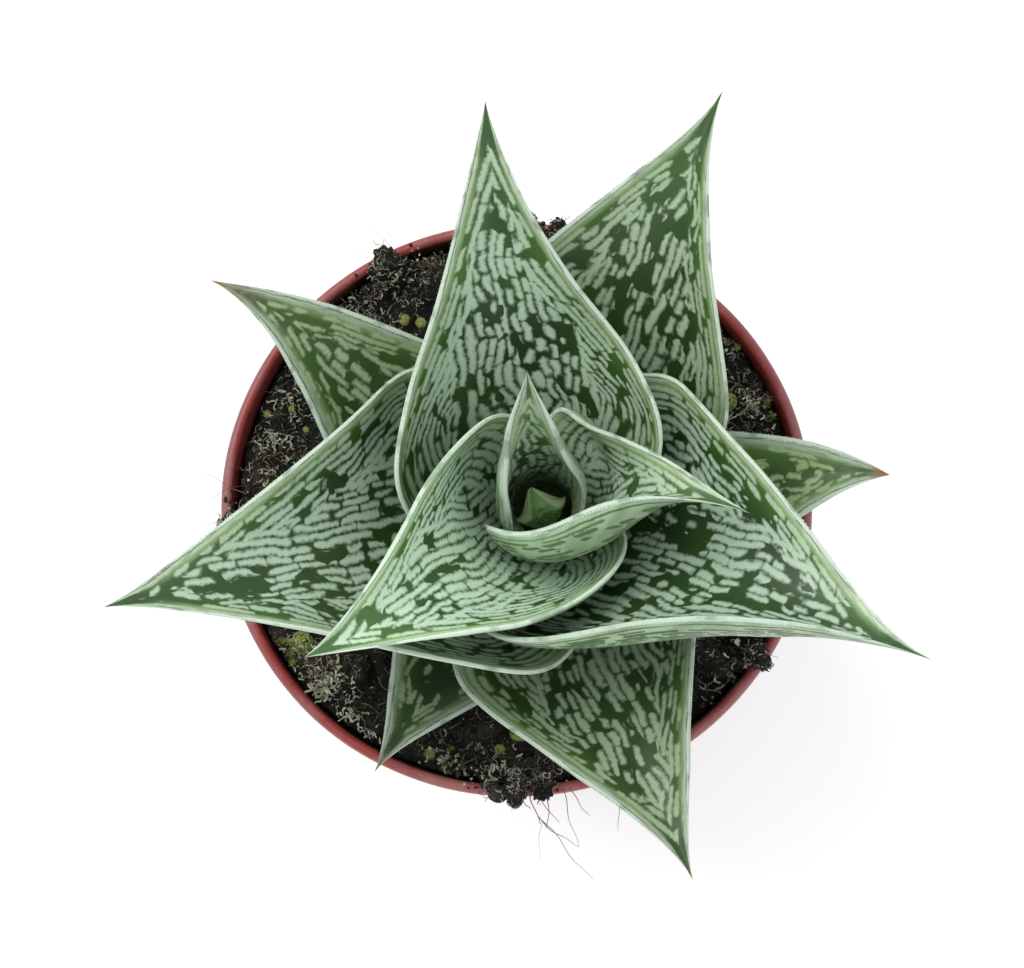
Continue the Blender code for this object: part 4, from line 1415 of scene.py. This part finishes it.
@dataclass(frozen=True)
class Rosette:
    """The twelve leaves in their spiral."""

    leaves: tuple[Leaf, ...] = LEAVES
    builder: LeafBuilder = LeafBuilder()
    settling: Settling = Settling()

    def finish_for(self, order: int, leaf: Leaf) -> LeafSkin:
        """The skin of a leaf by its age, with painted light and shade by where it lies.

        Args:
            order: its place, youngest first.
            leaf: the leaf.

        Returns:
            The finish.
        """
        # light and deep are partly each leaf's own tone and partly painted light and shade
        light, deep, warmth, cover, rim_width = LEAF_TONES_AND_LIGHT[leaf.name]
        edge, under = LeafSkin.edge, LeafSkin.under
        # The innermost leaf's paler edge and back carry painted light
        if order == 0:
            edge, under = LeafSkin.inner_edge_and_light, LeafSkin.inner_under_and_light
        return LeafSkin(
            name=f"{leaf.name}_striped",
            seed=3.0 + 1.7 * order,
            pitch=1.25 + 0.4 * min(1.0, leaf.half_width / 30.0),
            dry_length=DRY_TIPS.get(leaf.name, 0.5),
            faded=FADED_TIPS.get(leaf.name, 0.01),
            warmth=warmth,
            cover=cover,
            rim_width=rim_width,
            dark=toned(LeafSkin.dark, deep),
            dark_edge=toned(LeafSkin.dark_edge, 0.5 + 0.5 * deep),
            dark_tip=toned(LeafSkin.dark_tip, deep),
            pale=toned(LeafSkin.pale, light),
            pale_warm=toned(LeafSkin.pale_warm, light),
            edge=toned(edge, 0.5 + 0.5 * light),
            under=toned(under, light),
            under_dark=toned(LeafSkin.under_dark, deep),
        )

    def slot_for(self, name: str) -> str:
        """The record's slot for a leaf."""
        parts = frame["record"]["subparts"]
        return next(part["material_slot"] for part in parts if part["node"] == name)

    def build(self) -> list[bpy.types.Object]:
        """The leaves, dressed and riding.

        Returns:
            The pieces.
        """
        pieces = []
        moves = self.settling.settle(self.leaves)
        for order, (leaf, move) in enumerate(zip(self.leaves, moves)):
            piece = self.builder.build(leaf, move, seed=1.0 + order)
            dress(piece, self.finish_for(order, leaf).build(), self.slot_for(leaf.name), leaf.name)
            pieces.append(piece)
        return pieces


def dress(piece: bpy.types.Object, finish: bpy.types.Material, slot: str, *nodes: str) -> None:
    """Gives a piece its finish and its body.

    Args:
        piece: the piece.
        finish: its material.
        slot: the record's slot that it takes its finish from; not used.
        nodes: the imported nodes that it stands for.
    """
    piece.data.materials.clear()
    piece.data.materials.append(finish)
    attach(piece, BODY)
    if nodes:
        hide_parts(*nodes)
    triangles = sum(len(face.vertices) - 2 for face in piece.data.polygons)
    LOG.info("%s: %d triangles", piece.name, triangles)


def smoothed(profile: Sequence[tuple[float, float]], rounds: int = 2) -> np.ndarray:
    """A profile with its corners cut, its two ends kept.

    Args:
        profile: pairs of radius and height.
        rounds: how many times its corners are cut.

    Returns:
        The finer profile.
    """
    line = np.array(profile, float)
    for _ in range(rounds):
        first = line[:-1] * 0.75 + line[1:] * 0.25
        second = line[:-1] * 0.25 + line[1:] * 0.75
        middle = np.stack([first, second], axis=1).reshape(-1, 2)
        line = np.concatenate([line[:1], middle[1:-1], line[-1:]])
    return line


def oval(places: np.ndarray) -> np.ndarray:
    """Points pressed a little out of round towards the rim, as the pot is."""
    share = RIM_OVAL * (np.maximum(places[..., 2], 0.0) / RIM_HEIGHT) ** 2
    bent = places.copy()
    bent[..., 0] *= 1.0 + share
    bent[..., 1] *= 1.0 - share
    return bent


def turned(
    profile: np.ndarray, segments: int, bent: Callable[[float, float, float, float], float]
) -> np.ndarray:
    """A profile turned round the upright axis.

    Args:
        profile: pairs of radius and height.
        segments: steps of one turn.
        bent: the radius to take, from the profile's own, the direction's x and y, and the height.

    Returns:
        Rows by columns of points, the last column on the first.
    """
    angle = np.linspace(0.0, TURN, segments + 1)
    angle[-1] = 0.0
    places = np.zeros((len(profile), len(angle), 3))
    for i, (radius, height) in enumerate(profile):
        for j, a in enumerate(angle):
            c, s = math.cos(a), math.sin(a)
            far = bent(radius, c, s, height)
            places[i, j] = (far * c, far * s, height)
    return places


@dataclass(frozen=True)
class NurseryPot:
    """Thin tapered pot with a stepped collar, a rolled lip and drain holes."""

    base_radius: float = 36.0
    lip_width: float = 2.1
    lip_depth: float = 3.2
    collar_depth: float = 13.0
    wall: float = 1.1
    floor: float = 1.4
    foot_round: float = 2.6
    drain_holes: int = 8
    drain_ring: float = 25.0
    drain_radius: float = 4.0
    drain_cut: float = 8.0
    drain_sides: int = 40
    segments: int = 192
    unevenness: float = 0.16
    sharp_over: float = 50.0  # degrees between faces that stay sharp
    finish: PotPlastic = PotPlastic()

    def outside(self) -> list[tuple[float, float]]:
        """Radius and height down the outside, from the lip's crown."""
        r, h = RIM_RADIUS, RIM_HEIGHT
        return [
            (r - 1.05, h),
            (r - 0.4, h - 0.25),
            (r, h - 0.95),
            (r, h - self.lip_depth + 0.8),
            (r - 0.4, h - self.lip_depth + 0.1),
            (r - 1.1, h - self.lip_depth - 0.4),
            (r - 1.6, h - self.collar_depth + 0.6),
            (r - 2.0, h - self.collar_depth - 0.2),
            (r - 3.1, h - self.collar_depth - 0.9),
            (r - 3.5, h - self.collar_depth - 2.0),
            (self.base_radius + 1.0, self.foot_round),
            (self.base_radius + 0.3, self.foot_round * 0.35),
            (self.base_radius - 1.4, 0.0),
            (0.0, 0.0),
        ]

    def inside(self) -> list[tuple[float, float]]:
        """Radius and height from the middle of the floor up to the lip."""
        r, h = RIM_RADIUS, RIM_HEIGHT
        return [
            (0.0, self.floor),
            (self.base_radius - 1.6, self.floor),
            (self.base_radius - 0.5, self.floor + 1.2),
            (r - 3.5 - self.wall, h - self.collar_depth - 2.0),
            (r - 3.1 - self.wall, h - self.collar_depth - 0.2),
            (r - 2.0 - self.wall, h - self.collar_depth + 0.9),
            (r - self.lip_width, h - self.lip_depth + 0.6),
            (r - self.lip_width + 0.1, h - 0.8),
            (r - self.lip_width + 0.4, h - 0.25),
        ]

    def dented(self, radius: float, x: float, y: float, height: float) -> float:
        """A radius of the wall with its slight unevenness."""
        wave = noise.noise(Vector((x * 3.0, y * 3.0, height * 0.03)))
        return radius + self.unevenness * wave * min(1.0, radius / 10.0)

    def build(self) -> None:
        """The pot, drained, dressed and riding."""
        profile = smoothed(self.inside() + self.outside())
        pot = Bench.sheet("nursery_pot", oval(turned(profile, self.segments, self.dented)))
        for k in range(self.drain_holes):
            turn = TURN * (k + 0.5) / self.drain_holes
            Bench.clear_choice()
            bpy.ops.mesh.primitive_cylinder_add(
                vertices=self.drain_sides,
                radius=self.drain_radius * MM,
                depth=self.drain_cut * MM,
                location=(*out_from(0.0, 0.0, turn, self.drain_ring * MM), 0.0),
            )
            Bench.cut(pot, Bench.keep(f"drain_{k + 1}"))
        Bench.choose(pot)
        bpy.ops.object.shade_smooth_by_angle(angle=math.radians(self.sharp_over))
        dress(pot, self.finish.build(), "pot_plastic", "pot")


@dataclass(frozen=True)
class Ground:
    """Where the packed soil and the leaves lie, for bits that are strewn over them."""

    soil: BVHTree
    leaves: BVHTree
    above: float = 200.0  # a height over everything
    lowest: float = RIM_HEIGHT - 20.0  # where the soil's top surely is higher

    @classmethod
    def of(cls, leaves: Sequence[bpy.types.Object]) -> "Ground":
        """The ground under and round these leaves."""
        return cls(cls.tree([frame["nodes"]["soil"]]), cls.tree(leaves))

    @staticmethod
    def tree(pieces: Sequence[bpy.types.Object]) -> BVHTree:
        """One tree over all the pieces, in millimetres."""
        points, faces = [], []
        for piece in pieces:
            start = len(points)
            points += [v.co / MM for v in piece.data.vertices]
            faces += [tuple(k + start for k in face.vertices) for face in piece.data.polygons]
        return BVHTree.FromPolygons(points, faces)

    def height(self, x: float, y: float) -> float | None:
        """Height of the soil at a place, or None off it."""
        spot = self.soil.ray_cast(Vector((x, y, self.above)), DOWN)[0]
        return spot.z if spot is not None and spot.z > self.lowest else None

    def clear(self, x: float, y: float, z: float, reach: float) -> bool:
        """Whether no leaf is within reach of a place."""
        return self.leaves.find_nearest(Vector((x, y, z)), reach)[0] is None


@dataclass(frozen=True)
class Crumbs:
    """How many crumbs of one kind lie where, each number with their least and greatest radius."""

    kind: Bits
    strewn: tuple[int, float, float]  # over the open soil
    spilt: tuple[int, float, float] | None = None  # in each spill over the lip
    clinging: tuple[int, float, float] | None = None  # to the soil over the lip


@dataclass(frozen=True)
class PeatBed:
    """The peat's crust, its crumbs and specks, roots and moss."""

    ground: Ground
    seed: int = 7
    grain: float = 0.55  # size of the crust's faces
    crust_rise: float = 0.45  # how far the crust stands over the packed soil
    roughness: float = 0.75  # height of the crust's lumps
    # Lumps to the millimetre and how strong they are, coarse to fine
    octaves: tuple[tuple[float, float], ...] = ((0.45, 1.0), (1.1, 0.7), (2.3, 0.45))
    crust_foot: float = RIM_HEIGHT - 11.0
    crust_start: float = RIM_HEIGHT - 10.0  # under it the crust keeps to the packed soil
    crust_gap: float = 0.12  # between the crust and the pot or a leaf
    least_rise: float = 0.1
    crumbs: Crumbs = Crumbs(Bits.PEAT, (1500, 0.18, 0.9), (60, 0.14, 0.5), (500, 0.15, 0.55))
    grains: Crumbs = Crumbs(Bits.CRUST, (260, 0.12, 0.3), (24, 0.12, 0.34), (260, 0.1, 0.24))
    specks: Crumbs = Crumbs(Bits.PERLITE, (14, 0.25, 0.6))
    fibres: int = 420
    loose_fibres: int = 1700
    spilt_fibres: int = 700
    open_radius: float = 50.0  # of the soil that bits are strewn over
    look: float = 2.5  # how far the crust looks for the pot or a leaf
    # Least and greatest stretch of a crumb, each way
    stretches: tuple[tuple[float, float], ...] = ((0.7, 1.35), (0.7, 1.35), (0.6, 1.0))
    rough: tuple[float, float] = (0.65, 1.2)  # least and greatest knob of a crumb
    knobs: tuple[float, float] = (0.6, 1.3)  # the same for a clinging crumb or along a string
    crumb_ring: tuple[float, float] = (0.14, 0.95)  # shares of the open soil's area
    fibre_ring: tuple[float, float] = (0.3, 0.92)
    spilt_out: float = RIM_RADIUS - 4.0  # how far out and how high the soil over the lip starts
    spilt_up: float = RIM_HEIGHT - 1.2
    deepest: float = 4.6  # how far inside the rim's edge a crumb of a spill lies at most
    lip: float = 2.0  # width of the lip that it can lie on
    # Spots on the soil that lies over the lip
    heaps: list[np.ndarray] = field(default_factory=list)

    def crust(self) -> bpy.types.Object:
        """A rough, finely lumped skin over the top of the packed soil."""
        piece = bpy.data.objects.new("peat_crust", frame["nodes"]["soil"].data.copy())
        piece.data.name = piece.name
        bpy.context.scene.collection.objects.link(piece)
        Bench.choose(piece)
        bpy.ops.object.mode_set(mode="EDIT")
        bpy.ops.mesh.select_all(action="SELECT")
        bpy.ops.mesh.remove_doubles(threshold=MERGED)
        bpy.ops.mesh.select_all(action="SELECT")
        foot = (0.0, 0.0, self.crust_foot * MM)
        bpy.ops.mesh.bisect(plane_co=foot, plane_no=-DOWN, clear_inner=True, use_fill=True)
        bpy.ops.object.mode_set(mode="OBJECT")
        voxel = self.grain * MM
        Bench.apply(piece, "REMESH", mode="VOXEL", voxel_size=voxel, use_smooth_shade=True)
        pot = Ground.tree([bpy.data.objects["nursery_pot"]])
        mesh = piece.data
        spots = [vertex.co / MM for vertex in mesh.vertices]
        ways = [vertex.normal.copy() for vertex in mesh.vertices]
        for spot, way in zip(spots, ways):
            if spot.z < self.crust_start:
                continue
            lumps = sum(share * noise.noise(spot * scale) for scale, share in self.octaves)
            rise = self.crust_rise + self.roughness * lumps
            room = min(self.free(self.ground.leaves, spot), self.free(pot, spot)) - self.crust_gap
            if room > self.least_rise:
                room = max(self.least_rise, min(rise, room))
            spot += way * max(room, 0.0)
        mesh.vertices.foreach_set("co", np.array(spots).ravel() * MM)
        for spot in spots:
            if math.hypot(spot.x, spot.y) > self.spilt_out and spot.z > self.spilt_up:
                self.heaps.append(np.array(spot))
        mesh.update()
        return piece

    def free(self, tree: BVHTree, spot: Vector) -> float:
        """Free way from a spot to what the tree holds, in millimetres."""
        near = tree.find_nearest(spot, self.look)
        return near[3] if near[0] is not None else self.look

    def lot(self, kind: str) -> random.Random:
        """A string of draws of its own for each kind of bit."""
        return random.Random(f"{self.seed} {kind}")

    @staticmethod
    def lump() -> tuple[np.ndarray, list[tuple[int, ...]]]:
        """One round lump to copy.

        Returns:
            Its points, 1 from the middle, and its faces.
        """
        Bench.clear_choice()
        bpy.ops.mesh.primitive_ico_sphere_add(subdivisions=1, radius=1.0)
        ball = Bench.keep("lump")
        points = np.array([tuple(v.co) for v in ball.data.vertices])
        triangles = [tuple(face.vertices) for face in ball.data.polygons]
        bpy.data.objects.remove(ball, do_unlink=True)
        return points, triangles

    def strewn(self, lots: random.Random, places: Iterable[tuple]) -> ShapeBin:
        """Rough crumbs at these places.

        Args:
            lots: the draws.
            places: x, y, height or None for the soil's own, radius and tone of each.

        Returns:
            The crumbs.
        """
        made = ShapeBin()
        points, triangles = self.lump()
        for x, y, z, size, tone in places:
            base = self.ground.height(x, y)
            if z is None and base is None:
                continue
            z = base + 0.55 + size * 0.3 if z is None else z
            if not self.ground.clear(x, y, z, size * 1.2 + 0.1):
                continue
            stretch = np.array([lots.uniform(*ends) for ends in self.stretches])
            turn = lots.uniform(0, TURN)
            c, s = math.cos(turn), math.sin(turn)
            rough = np.array([lots.uniform(*self.rough) for _ in points])[:, None]
            east, north, up = (points * rough * stretch * size).T
            lump = np.stack([east * c - north * s, east * s + north * c, up], axis=1)
            made.bit(lump + np.array([x, y, z]), triangles, tone)
        return made

    def loose(self, crumbs: Crumbs) -> ShapeBin:
        """All the crumbs of one kind.

        Args:
            crumbs: how many lie where.

        Returns:
            The crumbs.
        """
        lots = self.lot(crumbs.kind.value)
        places = self.scatter(lots, *crumbs.strewn)
        if crumbs.spilt:
            places += self.on_lip(lots, *crumbs.spilt)
        made = self.strewn(lots, places)
        if crumbs.clinging:
            self.heaped(lots, made, *crumbs.clinging)
        if crumbs.kind is Bits.CRUST:
            self.tangles(lots, made)
        return made

    def scatter(self, lots: random.Random, count: int, least: float, most: float) -> list[tuple]:
        """Places of single crumbs all over the open soil.

        Args:
            lots: the draws.
            count: how many.
            least: smallest radius.
            most: greatest radius.

        Returns:
            x, y, None, radius and tone of each.
        """
        places = []
        for _ in range(count):
            x, y = self.open_place(lots, *self.crumb_ring)
            size = least + (most - least) * lots.random() ** 2.6
            places.append((x, y, None, size, lots.random() ** 2))
        return places

    def open_place(self, lots: random.Random, inner: float, outer: float) -> tuple[float, float]:
        """A place in a ring of the soil.

        Args:
            lots: the draws.
            inner: share of the open soil's area that lies inside the ring.
            outer: share of it that lies inside the ring's outer edge.

        Returns:
            The place's x and y.
        """
        angle = lots.uniform(0, TURN)
        radius = self.open_radius * math.sqrt(lots.uniform(inner, outer))
        return out_from(0.0, 0.0, angle, radius)

    def tangles(self, lots: random.Random, made: ShapeBin) -> None:
        """The pale, crusty strings that cling together in tangled heaps.

        Args:
            lots: the draws.
            made: where they go.
        """
        for spot in self.around(lots, CRUSTY_HEAPS, lambda: abs(lots.gauss(0.0, 0.55))):
            stride, thick = lots.uniform(0.22, 0.34), lots.uniform(0.11, 0.22)
            self.curl(lots, made, spot + UP * self.crust_rise, stride, thick, lots.random() ** 0.7)

    def around(
        self,
        lots: random.Random,
        heaps: Iterable[tuple[float, float, float, int]],
        far: Callable[[], float],
    ) -> Iterator[np.ndarray]:
        """Places on the soil round the middles of some heaps.

        Args:
            lots: the draws.
            heaps: x, y, spread and number of places of each.
            far: draws how far out a place is, in spreads.

        Yields:
            Each place that has soil under it.
        """
        for x, y, spread, count in heaps:
            for _ in range(count):
                px, py = out_from(x, y, lots.uniform(0, TURN), spread * far())
                base = self.ground.height(px, py)
                if base is not None:
                    yield np.array([px, py, base])

    def curl(
        self,
        lots: random.Random,
        made: ShapeBin,
        foot: np.ndarray,
        stride: float,
        thick: float,
        tone: float,
    ) -> None:
        """One crooked string that rises and falls over the peat.

        Args:
            lots: the draws.
            made: where it goes.
            foot: where it starts.
            stride: length of each of its steps.
            thick: its radius.
            tone: its place between the two tones of its finish.
        """
        way = np.array([lots.gauss(0, 1), lots.gauss(0, 1), abs(lots.gauss(0, 0.7))])
        path = [foot]
        for _ in range(lots.randint(5, 9)):
            veer = [lots.gauss(0, 0.7), lots.gauss(0, 0.7), lots.gauss(-0.05, 0.5)]
            way = unit(way + np.array(veer))
            spot = path[-1] + way * stride
            if spot[2] < foot[2] or not self.ground.clear(*spot, thick + 0.15):
                break
            path.append(spot)
        if len(path) > 2:
            radii = thick * np.array([lots.uniform(*self.knobs) for _ in path])
            made.tube(np.array(path), radii, tone, sides=5 if thick > 0.1 else 3)

    def debris(self) -> ShapeBin:
        """Short broken fibres, thick in places and thin all over the open soil."""
        lots, made = self.lot("debris"), ShapeBin()
        loose = (0.0, 0.0, 49.0, self.loose_fibres)
        for spot in self.around(lots, (*FIBRE_NESTS, loose), lambda: math.sqrt(lots.random())):
            if math.hypot(spot[0], spot[1]) <= RIM_RADIUS - 3.0:
                self.fleck(lots, made, spot + UP * 0.35)
        for _ in range(self.spilt_fibres):
            self.fleck(lots, made, lots.choice(self.heaps))
        return made

    def fleck(self, lots: random.Random, made: ShapeBin, foot: np.ndarray) -> None:
        """One short broken fibre or flake of peat.

        Args:
            lots: the draws.
            made: where it goes.
            foot: where it starts.
        """
        stride, thick = lots.uniform(0.14, 0.4), lots.uniform(0.05, 0.13)
        self.curl(lots, made, foot, stride, thick, lots.random() ** 1.2)

    def on_lip(self, lots: random.Random, each: int, least: float, most: float) -> list[tuple]:
        """Places of crumbs in the spills over the lip.

        Args:
            lots: the draws.
            each: crumbs in a spill.
            least: smallest radius.
            most: greatest radius.

        Returns:
            x, y, height, radius and tone of each.
        """
        places = []
        for heading, spread in SPILLS:
            for _ in range(max(3, int(each * spread / 10))):
                size = lots.uniform(least, most)
                angle = math.radians(heading + lots.gauss(0.0, spread / 3.0))
                inset = self.deepest - (self.deepest - 0.5) * lots.random() ** 3
                x = (RIM_RADIUS - inset) * math.cos(angle) * (1 + RIM_OVAL)
                y = (RIM_RADIUS - inset) * math.sin(angle) * (1 - RIM_OVAL)
                top = self.ground.height(x, y)
                rest = RIM_HEIGHT - (0.1 if inset < self.lip else 1.6)
                places.append((x, y, max(rest, top or 0.0) + size * 0.55, size, lots.random()))
        return places

    def heaped(
        self, lots: random.Random, made: ShapeBin, count: int, least: float, most: float
    ) -> None:
        """Crumbs that cling to the soil over the lip.

        Args:
            lots: the draws.
            made: where they go.
            count: how many.
            least: smallest radius.
            most: greatest radius.
        """
        points, triangles = self.lump()
        for _ in range(count if self.heaps else 0):
            spot, size = lots.choice(self.heaps), lots.uniform(least, most)
            if self.ground.clear(*spot, size * 1.3 + 0.1):
                rough = np.array([lots.uniform(*self.knobs) for _ in points])[:, None]
                made.bit(points * rough * size + spot, triangles, lots.random())

    def threads(self) -> ShapeBin:
        """Root hairs and fibres that lie in the peat, stand from it and hang over the lip."""
        lots, made = self.lot("fibres"), ShapeBin()
        for _ in range(self.fibres):
            x, y = self.open_place(lots, *self.fibre_ring)
            turn, length = lots.uniform(0, TURN), lots.uniform(2.0, 7.0)
            path, bend = [], lots.uniform(-0.5, 0.5)
            for k in range(9):
                base = self.ground.height(x, y)
                if base is None:
                    break
                lift = 1.0 + 0.7 * math.sin(k * 0.9 + turn)
                if not self.ground.clear(x, y, base + lift, 0.7):
                    break
                path.append((x, y, base + lift))
                turn += bend + lots.uniform(-0.3, 0.3)
                x, y = out_from(x, y, turn, length / 8)
            if len(path) > 4:
                thick = lots.uniform(0.05, 0.13)
                radii = thick * np.linspace(1.0, 0.45, len(path))
                made.tube(np.array(path), radii, lots.random() ** 1.5, sides=4)
        for root in HANGING_ROOTS:
            made.tube(*self.hanging(lots, *root), tone=lots.random() * 0.5)
        return made

    @staticmethod
    def hanging(
        lots: random.Random, x: float, y: float, to_x: float, to_y: float, drop: float, thick: float
    ) -> tuple[np.ndarray, np.ndarray]:
        """A root hair from the soil over the lip.

        Args:
            lots: the draws.
            x: where it starts, to the right.
            y: where it starts, away from the viewer.
            to_x: where it ends, to the right.
            to_y: where it ends, away from the viewer.
            drop: how far it drops past the lip.
            thick: its radius at the root.

        Returns:
            Its path and its radii.
        """
        start, end = np.array([x, y]), np.array([to_x, to_y])
        side = np.array([y - to_y, to_x - x]) * 0.06
        bend, turn, path = lots.uniform(-1.0, 1.0), lots.uniform(0.0, 6.0), []
        for k in range(13):
            share = k / 12
            arch = math.sin(math.pi * share)
            spot = start + (end - start) * share
            spot = spot + side * (bend * arch + 0.35 * math.sin(9.0 * share + turn))
            over = max(0.0, math.hypot(*spot) - RIM_RADIUS)
            over = over / max(math.hypot(*end) - RIM_RADIUS, 1.0)
            path.append((*spot, RIM_HEIGHT + 0.5 + 0.6 * arch - drop * over**1.5))
        return np.array(path), thick * np.linspace(1.0, 0.45, len(path))

    def sprigs(self) -> ShapeBin:
        """Sprigs of moss in tufts on the open soil."""
        lots, made = self.lot("moss"), ShapeBin()
        for spot in self.around(lots, MOSS_TUFTS, lambda: math.sqrt(lots.random())):
            if self.ground.clear(spot[0], spot[1], spot[2] + 1.5, 1.6):
                self.sprig(lots, made, spot + UP * 0.2, lots.uniform(1.2, 2.6))
        return made

    @staticmethod
    def sprig(lots: random.Random, made: ShapeBin, foot: np.ndarray, tall: float) -> None:
        """One sprig: narrow leaflets that spiral up a short stem.

        Args:
            lots: the draws.
            made: where the leaflets go.
            foot: where it stands.
            tall: its height.
        """
        lean = np.array([lots.uniform(-0.5, 0.5), lots.uniform(-0.5, 0.5), 1.0])
        tone = lots.random()
        for k in range(13):
            share = k / 12
            root = foot + lean * tall * share
            turn = k * 2.4 + tone * 6.0
            out = np.array([math.cos(turn), math.sin(turn), 0.55 + 0.9 * share])
            side = np.array([-math.sin(turn), math.cos(turn), 0.0])
            length = (1.15 - 0.5 * share) * lots.uniform(0.75, 1.1)
            middle = root + out * length * 0.45
            peak = root + out * length + UP * 0.1
            ways = (side * 0.17, UP * 0.07, side * -0.17, UP * -0.05)
            points = np.array([root, *(middle + way for way in ways), peak])
            faces = [(0, a, a % 4 + 1) for a in range(1, 5)]
            faces += [(5, a % 4 + 1, a) for a in range(1, 5)]
            made.bit(points, faces, min(1.0, 0.25 + 0.6 * share + 0.2 * tone))

    def cushions(self) -> ShapeBin:
        """Small domes of yellow-green moss."""
        lots, made = self.lot("cushions"), ShapeBin()
        points, triangles = self.lump()
        for x, y, radius in MOSS_CUSHIONS:
            base = self.ground.height(x, y)
            if base is None:
                continue
            for k in range(int(95 * radius)):
                turn, up = 2.4 * k, lots.uniform(0.0, 1.0)
                out = math.sqrt(1.0 - up * up) * radius
                spot = np.array([*out_from(x, y, turn, out), base + 0.4 + up * radius * 0.8])
                if self.ground.clear(*spot, 0.5):
                    size, tone = lots.uniform(0.18, 0.34), 0.3 + 0.7 * up * lots.random()
                    made.bit(points * size + spot, triangles, tone)
        return made

    def build(self) -> None:
        """All of the bed, dressed and riding."""
        soil = frame["nodes"]["soil"]
        soil.data.materials.clear()
        soil.data.materials.append(PeatLook("peat_body", mapped=False).build())
        dress(self.crust(), CRUST_LOOK.build(), "peat")
        self.lay(Bits.PEAT, self.loose(self.crumbs))
        self.lay(Bits.CRUST, self.loose(self.grains))
        self.lay(Bits.DEBRIS, self.debris())
        self.lay(Bits.PERLITE, self.loose(self.specks))
        self.lay(Bits.ROOTS, self.threads())
        self.lay(Bits.CUSHIONS, self.cushions())
        self.lay(Bits.SPRIGS, self.sprigs())

    @staticmethod
    def lay(kind: Bits, made: ShapeBin) -> None:
        """One kind of bits as a piece, dressed and riding."""
        rounded = kind in (Bits.DEBRIS, Bits.ROOTS)
        dress(Bench.from_shapes(kind.value, made, smooth=rounded), LOOKS[kind].build(), "peat")


@dataclass(frozen=True)
class ShortStem:
    """The stem that the leaves stand on."""

    foot: float = RIM_HEIGHT - 24.0
    clear: float = 0.35
    segments: int = 64
    dents: float = 0.02  # share of the radius
    finish: StemSkin = StemSkin()

    def build(self, leaves: Sequence[Leaf]) -> None:
        """The stem, dressed and riding.

        Args:
            leaves: the leaves that ring it.
        """
        seats = sorted((RIM_HEIGHT + leaf.seat, leaf.ring - self.clear) for leaf in leaves)
        top, tip_radius = seats.pop()
        profile = [(0.0, self.foot), (5.0, self.foot + 0.5), (7.5, self.foot + 4.0)]
        profile += [(9.0, RIM_HEIGHT - 12.0), *((r, z) for z, r in seats)]
        profile += [(tip_radius - 0.4, top - 0.4), (0.0, top + 0.2)]
        places = turned(smoothed(profile), self.segments, self.dented) + np.array([*AXIS, 0.0])
        dress(Bench.sheet("scarred_stem", places), self.finish.build(), "stem_skin", "stem")

    def dented(self, radius: float, x: float, y: float, height: float) -> float:
        """A radius of the stem with its shallow dents."""
        wave = noise.noise(Vector((x * 2, y * 2, height * 0.4)))
        return radius * (1.0 - self.dents * (1 + wave))


@dataclass(frozen=True)
class Studio:
    """Pale floor, soft light and the photograph's camera, with their lengths in metres."""

    floor_size: float = 4.0
    floor_drop: float = 0.0002  # under the pot's foot
    eye: tuple[float, float, float] = (-0.00085, -0.08126, 0.78778)
    tilt: float = 7.0
    lens: float = 137.1
    sky: tuple[float, float, float, float] = (0.92, 0.95, 1.0, 1.0)
    sky_strength: float = 0.86
    aim: float = 0.1  # height that the lamps look at
    # Each lamp's place, side, power and colour
    key: tuple = ((-0.45, 0.35, 0.95), 0.7, 7.0, (1.0, 0.985, 0.96))
    fill: tuple = ((0.6, -0.4, 0.8), 0.9, 2.4, (0.95, 0.97, 1.0))

    def light(
        self,
        name: str,
        place: tuple[float, float, float],
        size: float,
        energy: float,
        colour: tuple,
    ) -> None:
        """A square lamp that looks at the plant.

        Args:
            name: its name.
            place: where it hangs, in metres.
            size: its side.
            energy: its power.
            colour: its colour.
        """
        lamp = bpy.data.lights.new(name, "AREA")
        lamp.shape, lamp.size, lamp.energy, lamp.color = "SQUARE", size, energy, colour
        hung = bpy.data.objects.new(name, lamp)
        hung.location = place
        back = Vector(place) - Vector((0, 0, self.aim))
        hung.rotation_euler = back.to_track_quat("Z", "Y").to_euler()
        bpy.context.scene.collection.objects.link(hung)

    def build(self) -> None:
        """The floor, the lights, the sky and the camera."""
        Bench.clear_choice()
        bpy.ops.mesh.primitive_plane_add(size=self.floor_size, location=(0, 0, -self.floor_drop))
        floor = Bench.keep("floor")
        floor.data.materials.append(Floor().build())
        floor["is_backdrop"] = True
        self.light("key", *self.key)
        self.light("fill", *self.fill)
        world = bpy.data.worlds.new("studio")
        world.use_nodes = True
        back = world.node_tree.nodes["Background"]
        back.inputs["Color"].default_value = self.sky
        back.inputs["Strength"].default_value = self.sky_strength
        scene = bpy.context.scene
        scene.world = world
        scene.view_settings.view_transform = "Standard"
        camera = bpy.data.objects.new("camera", bpy.data.cameras.new("camera"))
        camera.location = self.eye
        camera.rotation_euler = (math.radians(self.tilt), 0.0, 0.0)
        camera.data.lens = self.lens
        scene.collection.objects.link(camera)
        scene.camera = camera


def write_sizes() -> None:
    boxes = {"cad": CAD_BOX, "visual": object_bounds()}
    boxes = {name: [list(corner) for corner in box] for name, box in boxes.items()}


def main() -> None:
    """Builds the studio, the pot, the stem, the leaves and the peat."""
    logging.basicConfig(level=logging.INFO, format="%(name)s %(message)s")
    Studio().build()
    NurseryPot().build()
    ShortStem().build(LEAVES)
    leaves = Rosette().build()
    PeatBed(Ground.of(leaves)).build()
    write_sizes()


if __name__ == "__main__":
    main()
